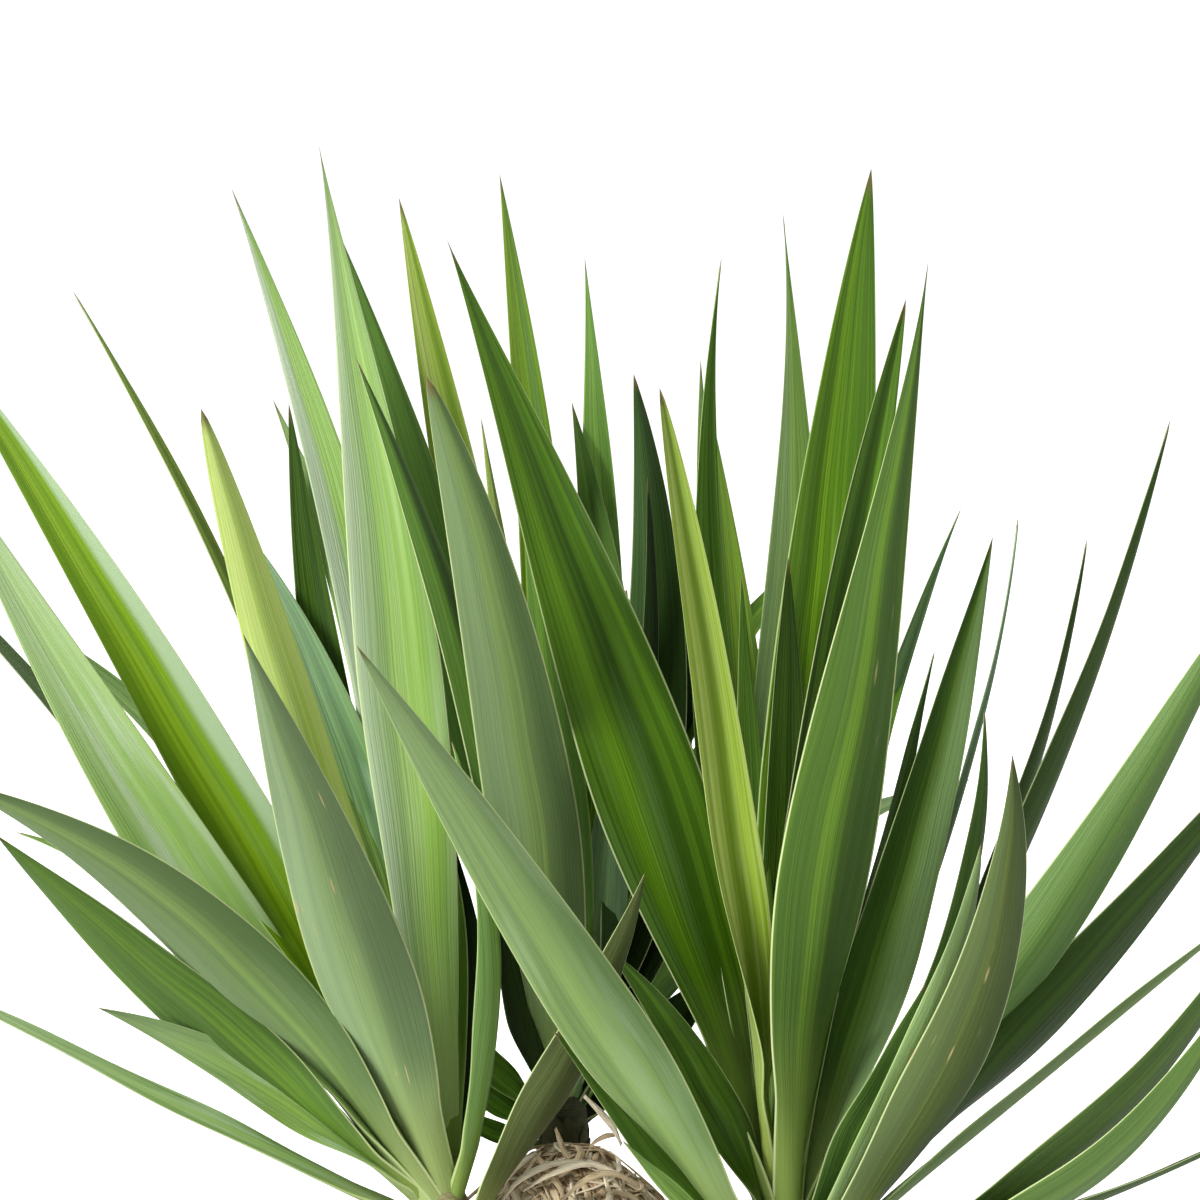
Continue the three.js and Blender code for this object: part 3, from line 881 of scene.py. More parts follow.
@dataclass(frozen=True)
class BladeMaker:
    """Shapes blades round their stems, on the same curves as the solids."""

    columns: int = 24
    rows: int = 72
    curve_steps: int = 200
    root_inset: float = 0.4
    root_share: float = 0.5
    root_curl: float = 1.25
    curl_end: float = 0.22
    least_curl: float = 0.02
    full_curl: float = 0.5
    tip_curve: float = 1.6
    tip_half_width: float = 0.18
    root_end: float = 0.3
    root_thickness: float = 4.2
    blade_thickness: float = 1.5
    tip_thickness: float = 0.5
    margin_thickness: float = 0.35
    margin_round: int = 8
    rib_round: float = 0.3
    waves: float = 2.6
    wave_lag: float = 1.3
    wave_start: Pair = (0.15, 0.4)
    wave_stop: Pair = (0.75, 1.0)

    def line(self, base: Vector, blade: Blade) -> list[Vector]:
        """Gives the points of a blade's middle line, evenly spaced along it.

        Args:
            base: Where the blade leaves its stem.
            blade: The blade's record.

        Returns:
            One point for each row and one more.
        """
        middle, tip = Vector(blade.middle), Vector(blade.tip)
        pull = middle * 2 - base * 0.5 - tip * 0.5
        first = base.lerp(pull, 2 / 3) - Vector((blade.sway, 0, 0))
        second = (middle * 8 - base - first * 3 - tip) / 3

        def at(t: float) -> Vector:
            """Gives the curve's point at t."""
            u = 1 - t
            return base * u**3 + first * (3 * u * u * t) + second * (3 * u * t * t) + tip * t**3

        fine = [at(k / self.curve_steps) for k in range(self.curve_steps + 1)]
        reach = [0.0]
        for one, two in zip(fine, fine[1:]):
            reach.append(reach[-1] + (two - one).length)
        points = []
        k = 0
        for row in range(self.rows + 1):
            goal = reach[-1] * row / self.rows
            while k + 1 < self.curve_steps and reach[k + 1] < goal:
                k += 1
            share = (goal - reach[k]) / (reach[k + 1] - reach[k])
            points.append(fine[k].lerp(fine[k + 1], share))
        return points

    def half_width(self, blade: Blade, along: float) -> float:
        """Gives half of a blade's width.

        Args:
            blade: The blade's record.
            along: The share of the way from root to tip.

        Returns:
            Half of the width there.
        """
        half = blade.width / 2
        if along < blade.widest:
            return half * between(self.root_share, 1, ease(along / blade.widest))
        past = (along - blade.widest) / (1 - blade.widest)
        return max(half * max(0.0, 1 - past**self.tip_curve) ** blade.taper, self.tip_half_width)

    def thickness(self, along: float) -> float:
        """Gives the thickness at the rib.

        Args:
            along: The share of the way from root to tip.

        Returns:
            The thickness there.
        """
        if along < self.root_end:
            return between(self.root_thickness, self.blade_thickness, ease(along / self.root_end))
        past = (along - self.root_end) / (1 - self.root_end)
        return between(self.blade_thickness, self.tip_thickness, ease(past))

    def section(self, blade: Blade, along: float, turn: float, phase: float) -> Pair:
        """Gives a point of the blade's section.

        Args:
            blade: The blade's record.
            along: The share of the way from root to tip.
            turn: From 0 round the upper side to a half and round the lower side to 1.
            phase: Where the edge's waves start.

        Returns:
            The distance across and the height over the rib.
        """
        half = self.half_width(blade, along)
        across = -math.cos(FULL_TURN * turn)
        side = 1 if turn < 0.5 else -1
        out = abs(across)
        curl = self.root_curl * (1 - ease(along, 0.0, self.curl_end))
        round_rib = math.hypot(out, self.rib_round) - self.rib_round
        lift = blade.fold * half * round_rib / (math.hypot(1, self.rib_round) - self.rib_round)
        reach = half * out
        if curl > self.least_curl:
            bent = half * math.sin(curl * out) / curl
            rise = half * (1 - math.cos(curl * out)) / curl
            share = ease(curl, 0.0, self.full_curl)
            reach = between(reach, bent, share)
            lift = between(lift, rise, share)
        lag = self.wave_lag if across > 0 else 0.0
        swing = math.sin(FULL_TURN * (self.waves * along) + phase + lag)
        grown = ease(along, *self.wave_start) * (1 - ease(along, *self.wave_stop))
        lift += blade.wave * swing * out**3 * grown
        thick = self.thickness(along) * math.sqrt(max(0.0, 1 - across * across))
        margin = self.margin_thickness * math.sqrt(max(0.0, 1 - across**self.margin_round))
        return math.copysign(reach, across), lift + side * (thick / 2 + margin / 2)

    def belly_across(self, stem: Stem, blade: Blade) -> Vector:
        """Gives the direction across the middle of a blade.

        Args:
            stem: The stem that it grows from.
            blade: The blade's record.

        Returns:
            The direction from the blade's own left to its own right.
        """
        away = Vector(blade.middle) - Vector(stem.crown)
        across = bearing(blade.face)
        return across if across.dot(Vector((-away.y, away.x, 0))) >= 0 else -across

    def shape(self, stem: Stem, blade: Blade, phase: float) -> BMesh:
        """Bends a grid into one closed blade.

        Args:
            stem: The stem that it grows from.
            blade: The blade's record.
            phase: Where the edge's waves start.

        Returns:
            The blade's mesh.
        """
        axis = Vector(stem.crown) + Vector((0, 0, blade.rise))
        middle = Vector(blade.middle)
        turn = math.degrees(math.atan2(middle.y - axis.y, middle.x - axis.x))
        line = self.line(axis + bearing(turn) * (stem.radius * self.root_inset), blade)
        root_across = bearing(turn + 90)
        belly_across = self.belly_across(stem, blade)
        frames = []
        for row in range(self.rows + 1):
            ahead = line[min(row + 1, self.rows)]
            forward = (ahead - line[max(row - 1, 0)]).normalized()
            across = root_across.lerp(belly_across, ease(2 * row / self.rows))
            across = (across - forward * across.dot(forward)).normalized()
            frames.append((line[row], across, forward.cross(across)))
        mesh = bmesh.new()
        spots = mesh.loops.layers.uv.new("blade")
        for vert, around, along in lay_grid(mesh, self.columns, self.rows, spots):
            centre, across, upper = frames[round(along * self.rows)]
            if along > 1 - 0.5 / self.rows:
                vert.co = centre * MM
                continue
            wide, high = self.section(blade, along, around, phase)
            vert.co = (centre + across * wide + upper * high) * MM
        close_and_face_out(mesh)
        return mesh


@dataclass(frozen=True)
class Tier:
    """One of the three tiers of far leaves."""

    lean: float
    share: float
    rise: float


TIERS = (Tier(26, 0.7, 30), Tier(64, 0.86, 12), Tier(46, 0.86, 22))
FAR_TONES = (Tone.GREEN, Tone.MID, Tone.DEEP, Tone.SAGE, Tone.MID)
FAR_LENGTH = 330
FAR_LENGTH_SPREAD = 0.12
FAR_WIDTH = 27
FAR_WIDTH_SPREAD = 10
FAR_TURN_SPREAD = 10
FAR_LEAN_SPREAD = 8
FAR_LEAN_BEFORE = 7
FAR_LEAN_AFTER = 5


def far_blades(stem: Stem, inset: float) -> Iterator[Blade]:
    """Gives the leaves that the solids place on a stem's far side by a rule.

    Args:
        stem: The stem that they grow from.
        inset: The share of the stem's radius where a blade starts.

    Yields:
        One record for each leaf.
    """
    draws = Draws(stem.far_seed)
    for k in range(stem.far_count):
        even = between(stem.first_bearing, stem.last_bearing, (k + 0.5) / stem.far_count)
        turn = even + draws.spread(FAR_TURN_SPREAD)
        tier = TIERS[k % len(TIERS)]
        lean = tier.lean + draws.spread(FAR_LEAN_SPREAD)
        length = FAR_LENGTH * tier.share * (1 + draws.spread(FAR_LENGTH_SPREAD))
        width = FAR_WIDTH + draws.spread(FAR_WIDTH_SPREAD)
        outward = bearing(turn)
        root = Vector(stem.crown) + Vector((0, 0, tier.rise)) + outward * (stem.radius * inset)

        def reach(distance: float, angle: float) -> Place:
            """Gives the place at a distance from the root, an angle from upright."""
            out = outward * (distance * math.sin(math.radians(angle)))
            return tuple(root + out + Vector((0, 0, distance * math.cos(math.radians(angle)))))

        yield Blade(
            tone=FAR_TONES[k % len(FAR_TONES)],
            rise=tier.rise,
            middle=reach(length / 2, lean - FAR_LEAN_BEFORE),
            tip=reach(length, lean + FAR_LEAN_AFTER),
            width=width,
            face=turn + 90,
        )


@dataclass(frozen=True)
class Husks:
    """The dry bases of old leaves that clasp a stem under its crown."""

    finish: GrainFinish = HUSK
    flare: float = 1.0
    count: int = 9
    columns: int = 8
    rows: int = 9
    next_turn: float = 137.5
    turn_spread: float = 12
    below_crown: float = 16
    ring_step: float = 2.2
    rings: int = 4
    length: float = 26
    length_share: Pair = (0.6, 1.1)
    spread: Pair = (2.0, 7.0)
    spread_curve: float = 1.8
    half_angle: Pair = (34, 52)
    narrowing: float = 0.8
    narrow_curve: float = 1.6
    narrow_share: float = 0.86
    ragged: float = 0.08
    hug: float = 1.12
    clearance: float = 0.8
    round_end: float = 0.12
    thickness: float = 0.7

    def shape(self, stem: Stem, chance: random.Random) -> BMesh:
        """Makes all the husks of a stem.

        Args:
            stem: The stem that they clasp.
            chance: Where its random numbers come from.

        Returns:
            The mesh.
        """
        whole = bmesh.new()
        for k in range(self.count):
            turn = k * self.next_turn + chance.uniform(-self.turn_spread, self.turn_spread)
            low = stem.crown[2] - self.below_crown + self.ring_step * (k % self.rings)
            length = self.length * chance.uniform(*self.length_share)
            spread = chance.uniform(*self.spread) * self.flare
            wide = chance.uniform(*self.half_angle)
            for vert, side, along in lay_grid(whole, self.columns, self.rows):
                across = side * 2 - 1
                share = self.narrow_share + self.ragged * math.sin(3 * across + k)
                narrow = 1 - self.narrowing * along**self.narrow_curve * share
                angle = turn + across * wide * narrow
                radius = stem.radius * self.hug + self.clearance + spread * along**self.spread_curve
                height = low + length * along * (1 - self.round_end * across * across)
                vert.co = (stem.axis(height) + bearing(angle) * radius) * MM
        thicken(whole, self.thickness)
        return whole


@dataclass(frozen=True)
class Shoot:
    """One stem with its husks and its crown of blades."""

    LOOK_SHIFT = 90

    stem: Stem
    blades: tuple[Blade, ...]
    cane: GrainFinish = STEM
    husks: Husks = Husks()

    def build(self, maker: BladeMaker, finish: BladeFinish, grain: Tree) -> int:
        """Builds the stem and all its blades.

        Args:
            maker: Shapes the blades.
            finish: Makes their materials.
            grain: The grain group for the stem.

        Returns:
            How many pieces were made.
        """
        stem, name = self.stem, self.stem.name
        node = f"shoot_{name}"
        chance = random.Random(node)
        blades = [*self.blades, *far_blades(stem, maker.root_inset)]
        for k, blade in enumerate(blades):
            label = f"leaf_{name}_{k + 1:02d}"
            seed = chance.uniform(0, self.LOOK_SHIFT)
            mesh = maker.shape(stem, blade, chance.uniform(0, FULL_TURN))
            hand = 1 if maker.belly_across(stem, blade).x >= 0 else -1
            material = finish.material(label, blade, stem.root_glow, seed, hand)
            make_piece(label, mesh, node, material)
        parts = {
            f"stem_{name}": (stem.shape(), self.cane),
            f"husks_{name}": (self.husks.shape(stem, chance), self.husks.finish),
        }
        for label, (mesh, look) in parts.items():
            make_piece(label, mesh, node, look.material(f"{label}_finish", grain))
        return len(blades) + len(parts)


# Ground: the same heap as in the solids


def heap_height(x: float, y: float) -> float:
    """Gives the height of the soil's surface at a place."""
    away = ((x - HEAP_PLACE[0]) ** 2 + (y - HEAP_PLACE[1]) ** 2) / HEAP_SPREAD**2
    return SOIL_LEVEL + (HEAP_CREST - SOIL_LEVEL) * math.exp(-away)


def inner_radius(height: float) -> float:
    """Gives the radius of the pot's inner face at a height."""
    return BASE_RADIUS + (RIM_RADIUS - BASE_RADIUS) * height / POT_HEIGHT - WALL


def lumps(x: float, y: float, size: float, seed: float) -> float:
    """Gives smooth unevenness from about -1 to 1 at a place."""
    return noise.noise(Vector((x / size, y / size, seed)))


def smooth_line(points: list[Vector], steps: int) -> list[Vector]:
    """Draws a smooth line through points.

    Args:
        points: The points that it passes.
        steps: How many pieces it has in all.

    Returns:
        The line's points.
    """
    ends = [points[0] * 2 - points[1], *points, points[-1] * 2 - points[-2]]
    line = []
    for k in range(steps + 1):
        place = k / steps * (len(points) - 1)
        i = min(int(place), len(points) - 2)
        t = place - i
        a, b, c, d = ends[i:i + 4]
        line.append((b * 2 + (c - a) * t + (a * 2 - b * 5 + c * 4 - d) * t**2
                     + (b * 3 - a - c * 3 + d) * t**3) * 0.5)
    return line


class StrandMesh:
    """A mesh of flat strands, with a map along each strand and a tone for each."""

    END_SHARE = 0.35
    BLUNT = (0.07, 0.93)

    def __init__(self) -> None:
        """Starts with no strands."""
        self.mesh = bmesh.new()
        self.spots = self.mesh.loops.layers.uv.new("strand")
        self.tones = self.mesh.verts.layers.float.new("strand_tone")

    def lay(self, points: list[Vector], width: float, tilt: float, tone: float) -> None:
        """Adds one flat strand along a row of points.

        Args:
            points: The strand's middle line.
            width: Its width.
            tilt: How far it leans over, as a slope.
            tone: Its tone from 0, pale, to 1, brown.
        """
        steps = len(points) - 1
        for vert, side, along in lay_grid(self.mesh, 1, steps, self.spots):
            k = round(along * steps)
            forward = (points[min(k + 1, steps)] - points[max(k - 1, 0)]).normalized()
            across = Vector((-forward.y, forward.x, tilt)).normalized()
            swell = math.sin(math.pi * min(self.BLUNT[1], max(self.BLUNT[0], along)))
            half = width / 2 * between(self.END_SHARE, 1, swell)
            vert[self.tones] = tone
            vert.co = (points[k] + across * ((side * 2 - 1) * half)) * MM


@dataclass(frozen=True)
class CrumbRule:
    """How the crumbs on the soil are drawn."""

    count: int = 420
    away: float = 62
    from_wall: float = 3.5
    radius: Pair = (0.7, 2.2)
    rise: float = 0.3
    squat: Pair = (0.6, 1.0)
    knock: float = 0.28
    knock_size: Pair = (900, 3000)


@dataclass(frozen=True)
class StrandRule:
    """How the loose strands of straw are drawn, and how the standing ones are laid."""

    count: int = 1500
    steps: int = 9
    reach: float = 88
    centre_share: float = 0.8
    heading_spread: float = 0.9
    curl: Pair = (0.2, 2.6)
    length: Pair = (24, 78)
    layer: Pair = (2.8, 6.6)
    arch: float = 6
    width: Pair = (1.2, 3.2)
    tilt: float = 0.9
    from_wall: float = 3
    from_stem: float = 5
    lump: float = 0.8
    lump_size: float = 6
    thickness: float = 0.4
    relief: float = 0.0003
    standing_steps: int = 14
    standing_width: float = 3.0
    standing_tilt: float = 0.5
    standing_tones: Pair = (0.1, 0.7)


@dataclass(frozen=True)
class Ground:
    """The soil and the straw that lies on it."""

    stems: tuple[Stem, ...]
    standing: tuple[tuple[Place, ...], ...]
    crumbs: CrumbRule = CrumbRule()
    strands: StrandRule = StrandRule()
    seed: int = 11
    columns: int = 96
    rows: int = 44
    skirt: float = 0.006
    soil_drop: float = 0.4
    soil_rough: Pair = (1.0, 9)
    bed_lift: float = 3.4
    bed_reach: float = 84
    bed_rough: Pair = (2.2, 7)
    finer: float = 2.7
    noise_layers: Pair = (0.5, 4.5)

    def heap(self, lift: float, reach: float, rough: Pair) -> BMesh:
        """Makes a closed disc whose top follows the heap.

        Args:
            lift: How far over the soil it lies.
            reach: Its radius.
            rough: How high and how wide its unevenness is.

        Returns:
            The mesh.
        """
        high, size = rough
        mesh = bmesh.new()
        for vert, around, out in lay_grid(mesh, self.columns, self.rows):
            turn = around * FULL_TURN
            x, y = reach * out * math.cos(turn), reach * out * math.sin(turn)
            coarse = lumps(x, y, size, self.noise_layers[0])
            fine = lumps(x, y, size / self.finer, self.noise_layers[1])
            uneven = high * (coarse + 0.5 * fine)
            vert.co = Vector((x, y, heap_height(x, y) + lift + uneven)) * MM
        skirt = bmesh.ops.extrude_edge_only(mesh, edges=open_edges(mesh))["geom"]
        for vert in (part for part in skirt if isinstance(part, Corner)):
            vert.co.z -= self.skirt
        close_and_face_out(mesh)
        return mesh

    def soil(self, grain: Tree) -> None:
        """Builds the soil with crumbs on it.

        Args:
            grain: The grain group.
        """
        chance, rule, wall = random.Random(self.seed), self.crumbs, inner_radius(SOIL_LEVEL)
        mesh = self.heap(-self.soil_drop, wall - GAP, self.soil_rough)
        for _ in range(rule.count):
            turn = chance.uniform(0, FULL_TURN)
            away = chance.uniform(rule.away, wall - rule.from_wall)
            x, y = away * math.cos(turn), away * math.sin(turn)
            radius = chance.uniform(*rule.radius)
            made = bmesh.ops.create_icosphere(mesh, subdivisions=1, radius=radius * MM)
            centre = Vector((x, y, heap_height(x, y) + radius * rule.rise)) * MM
            squat = chance.uniform(*rule.squat)
            for vert in made["verts"]:
                spot = vert.co * rule.knock_size[0] + centre * rule.knock_size[1]
                knock = 1 + rule.knock * noise.noise(spot)
                vert.co = centre + Vector((vert.co.x, vert.co.y, vert.co.z * squat)) * knock
        make_piece("soil_heap", mesh, "potting_soil", SOIL.material("soil_finish", grain))

    def bed(self, grain: Tree) -> None:
        """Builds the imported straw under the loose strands.

        Args:
            grain: The grain group.
        """
        mesh = self.heap(GAP + self.bed_lift, self.bed_reach, self.bed_rough)
        finish = BED.material("straw_bed_finish", grain)
        make_piece("straw_bed", mesh, "straw_mulch", finish)

    def straw(self, markings: Tree) -> None:
        """Builds the loose strands, drawn until enough lie inside the pot and clear of the stems.

        Args:
            markings: The strand group.
        """
        chance, rule, whole = random.Random(self.seed + 1), self.strands, StrandMesh()
        laid = 0
        while laid < rule.count:
            points = self.strand_line(chance)
            width = chance.uniform(*rule.width)
            tilt, tone = chance.uniform(-rule.tilt, rule.tilt), chance.random()
            if points is None:
                continue
            whole.lay(points, width, tilt, tone)
            laid += 1
        for number, route in enumerate(self.standing):
            points = smooth_line([Vector(spot) for spot in route], rule.standing_steps)
            tone = rule.standing_tones[number % 2]
            whole.lay(points, rule.standing_width, rule.standing_tilt, tone)
        thicken(whole.mesh, rule.thickness)
        material = finish_material("straw_finish", markings, {}, rule.relief)
        make_piece("straw_strands", whole.mesh, "straw_mulch", material)

    def strand_line(self, chance: random.Random) -> list[Vector] | None:
        """Draws one loose strand's line.

        Args:
            chance: Where its random numbers come from.

        Returns:
            Its points, or None where it would leave the pot or cross a stem.
        """
        rule = self.strands
        turn = chance.uniform(0, FULL_TURN)
        away = rule.reach * math.sqrt(chance.random())
        heading = turn + math.pi / 2 + chance.gauss(0, rule.heading_spread)
        curl = chance.choice((-1, 1)) * chance.uniform(*rule.curl)
        length = chance.uniform(*rule.length)
        layer = chance.uniform(*rule.layer)
        arch = chance.uniform(0.0, 1.0) ** 3 * rule.arch
        x = HEAP_PLACE[0] * rule.centre_share + away * math.cos(turn)
        y = HEAP_PLACE[1] * rule.centre_share + away * math.sin(turn)
        points = []
        for k in range(rule.steps + 1):
            along = k / rule.steps
            if math.hypot(x, y) > inner_radius(SOIL_LEVEL) - rule.from_wall:
                return None
            if any(math.hypot(x - stem.crown[0], y - stem.crown[1]) < stem.radius + rule.from_stem
                   for stem in self.stems):
                return None
            height = heap_height(x, y) + layer + arch * math.sin(math.pi * along)
            height += rule.lump * lumps(x, y, rule.lump_size, layer)
            points.append(Vector((x, y, height)))
            angle = heading + curl * (along - 0.5) * 2
            x += math.cos(angle) * length / rule.steps
            y += math.sin(angle) * length / rule.steps
        return points


# Pot


@dataclass(frozen=True)
class ClayPot:
    """The plain clay pot with its rounded lip."""

    sides: int = 128
    outer_steps: int = 16
    inner_steps: int = 12
    lip_steps: int = 10
    lip: float = 2
    foot: tuple[Pair, ...] = ((-4, 0), (-1, 0.5), (0.3, 2))
    floor: tuple[Pair, ...] = ((-1, 0.6), (-4, 0))
    wall_foot: float = 3
    ring: float = 0.12
    ring_pitch: float = 1.9
    ring_lean: float = 0.3
    plain_edge: float = 4
    drains: int = 3
    drain_ring: float = 42
    drain_radius: float = 6
    drain_sides: int = 24

    def profile(self) -> list[Pair]:
        """Gives the outline of half the pot's section, from its foot round to its floor.

        Returns:
            Pairs of radius and height.
        """
        outline = [(0, 0), *((BASE_RADIUS + out, high) for out, high in self.foot)]
        lip, inside = POT_HEIGHT - self.lip, inner_radius(FLOOR)
        for k in range(1, self.outer_steps):
            height = between(self.foot[-1][1], lip, k / self.outer_steps)
            outline.append((BASE_RADIUS + (RIM_RADIUS - BASE_RADIUS) * height / POT_HEIGHT, height))
        for k in range(self.lip_steps + 1):
            turn = math.pi * k / self.lip_steps
            outline.append((RIM_RADIUS - WALL / 2 + WALL / 2 * math.cos(turn),
                            lip + self.lip * math.sin(turn)))
        for k in range(1, self.inner_steps):
            height = between(lip, FLOOR + self.wall_foot, k / self.inner_steps)
            outline.append((inner_radius(height), height))
        return [*outline, *((inside + out, FLOOR + high) for out, high in self.floor), (0, FLOOR)]

    def build(self, grain: Tree) -> None:
        """Spins the pot and cuts its drain holes.

        Args:
            grain: The grain group.
        """
        mesh = bmesh.new()
        corners = [mesh.verts.new((out * MM, 0, high * MM)) for out, high in self.profile()]
        edges = [mesh.edges.new(pair) for pair in zip(corners, corners[1:])]
        bmesh.ops.spin(mesh, geom=corners + edges, axis=(0, 0, 1), cent=(0, 0, 0),
                       steps=self.sides, angle=FULL_TURN, use_merge=True)
        close_and_face_out(mesh)
        for vert in mesh.verts:
            turn, height = math.atan2(vert.co.y, vert.co.x), vert.co.z / MM
            if self.plain_edge < height < POT_HEIGHT - self.plain_edge:
                wave = math.sin(height * self.ring_pitch + self.ring_lean * math.sin(turn))
                out = Vector((vert.co.x, vert.co.y, 0)).normalized()
                vert.co += out * (self.ring * wave * MM)
        pot = make_piece("clay_pot", mesh, "pot", CLAY.material("clay_finish", grain))
        for k in range(self.drains):
            self.drill(pot, FULL_TURN * k / self.drains + math.pi / 2)

    def drill(self, pot: bpy.types.Object, turn: float) -> None:
        """Cuts one drain hole through the pot's floor.

        Args:
            pot: The pot.
            turn: Where the hole lies round the pot.
        """
        mesh, radius = bmesh.new(), self.drain_radius * MM
        made = bmesh.ops.create_cone(mesh, cap_ends=True, segments=self.drain_sides,
                                     radius1=radius, radius2=radius, depth=FLOOR * 3 * MM)
        x, y = self.drain_ring * math.cos(turn), self.drain_ring * math.sin(turn)
        bmesh.ops.translate(mesh, verts=made["verts"], vec=Vector((x, y, FLOOR / 2)) * MM)
        tool = place_data("drill", mesh_data("drill", mesh))
        cut = pot.modifiers.new("drain", "BOOLEAN")
        cut.object, cut.operation, cut.solver = tool, "DIFFERENCE", "EXACT"
        graph = bpy.context.evaluated_depsgraph_get()
        holed = bpy.data.meshes.new_from_object(pot.evaluated_get(graph), depsgraph=graph)
        pot.modifiers.clear()
        pot.data = holed
        bpy.data.objects.remove(tool)


# Studio


@dataclass(frozen=True)
class Lamp:
    """A soft square light that faces the plant."""

    name: str
    place: Place
    size: float
    power: float


@dataclass(frozen=True)
class Studio:
    """Floor, light and camera."""

    target: Place = (0, 0, 0.439)
    distance: float = 1.6
    elevation: float = 11
    lens: float = 129.7
    sensor: float = 36
    floor_reach: float = 30
    floor_drop: float = 0.0002
    floor_tone: float = 0.8
    floor_rough: float = 0.9
    floor_glow: float = 0.75
    surround: float = 0.46
    lamps: tuple[Lamp, ...] = (
        Lamp("key", (-1.6, -1.2, 2.1), 0.6, 88),
        Lamp("fill", (1.8, -1.6, 1.0), 1.6, 6),
        Lamp("rim", (0.5, 1.6, 1.9), 1.0, 28),
    )

    def build(self) -> None:
        """Sets the whole studio up."""
        self.floor()
        self.world()
        for lamp in self.lamps:
            self.light(lamp)
        self.camera()

    def floor(self) -> None:
        """Lays a wide white floor, which glows for the camera alone."""
        mesh = bmesh.new()
        bmesh.ops.create_grid(mesh, x_segments=4, y_segments=4, size=self.floor_reach)
        data = mesh_data("floor", mesh)
        material, bench = new_material("floor_finish")
        seen = bench.put("ShaderNodeLightPath").outputs["Is Camera Ray"]
        bench.surface({
            "Base Color": (self.floor_tone, self.floor_tone, self.floor_tone, 1),
            "Roughness": self.floor_rough,
            "Emission Color": (1, 1, 1, 1),
            "Emission Strength": bench.times(seen, self.floor_glow),
        })
        data.materials.append(material)
        floor = place_data("floor", data)
        floor.location.z = -self.floor_drop
        floor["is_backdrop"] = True

    def world(self) -> None:
        """Sets an even white surrounding."""
        world = bpy.data.worlds.new("studio")
        world.use_nodes = True
        shade = world.node_tree.nodes["Background"]
        shade.inputs[0].default_value = (1, 1, 1, 1)
        shade.inputs[1].default_value = self.surround
        bpy.context.scene.world = world
        bpy.context.scene.view_settings.view_transform = "Standard"

    def light(self, lamp: Lamp) -> None:
        """Hangs one light, turned to the plant.

        Args:
            lamp: The light's record.
        """
        data = bpy.data.lights.new(lamp.name, "AREA")
        data.shape, data.size, data.energy = "SQUARE", lamp.size, lamp.power
        light = place_data(lamp.name, data)
        light.location = lamp.place
        toward = Vector(self.target) - Vector(lamp.place)
        light.rotation_euler = toward.to_track_quat("-Z", "Y").to_euler()

    def camera(self) -> None:
        """Places the camera at the photograph's viewing angle."""
        data = bpy.data.cameras.new("camera")
        data.lens, data.sensor_width = self.lens, self.sensor
        camera = place_data("camera", data)
        rise = math.radians(self.elevation)
        back = Vector((0, -math.cos(rise), math.sin(rise)))
        camera.location = Vector(self.target) + back * self.distance
        camera.rotation_euler = (-back).to_track_quat("-Z", "Y").to_euler()
        bpy.context.scene.camera = camera
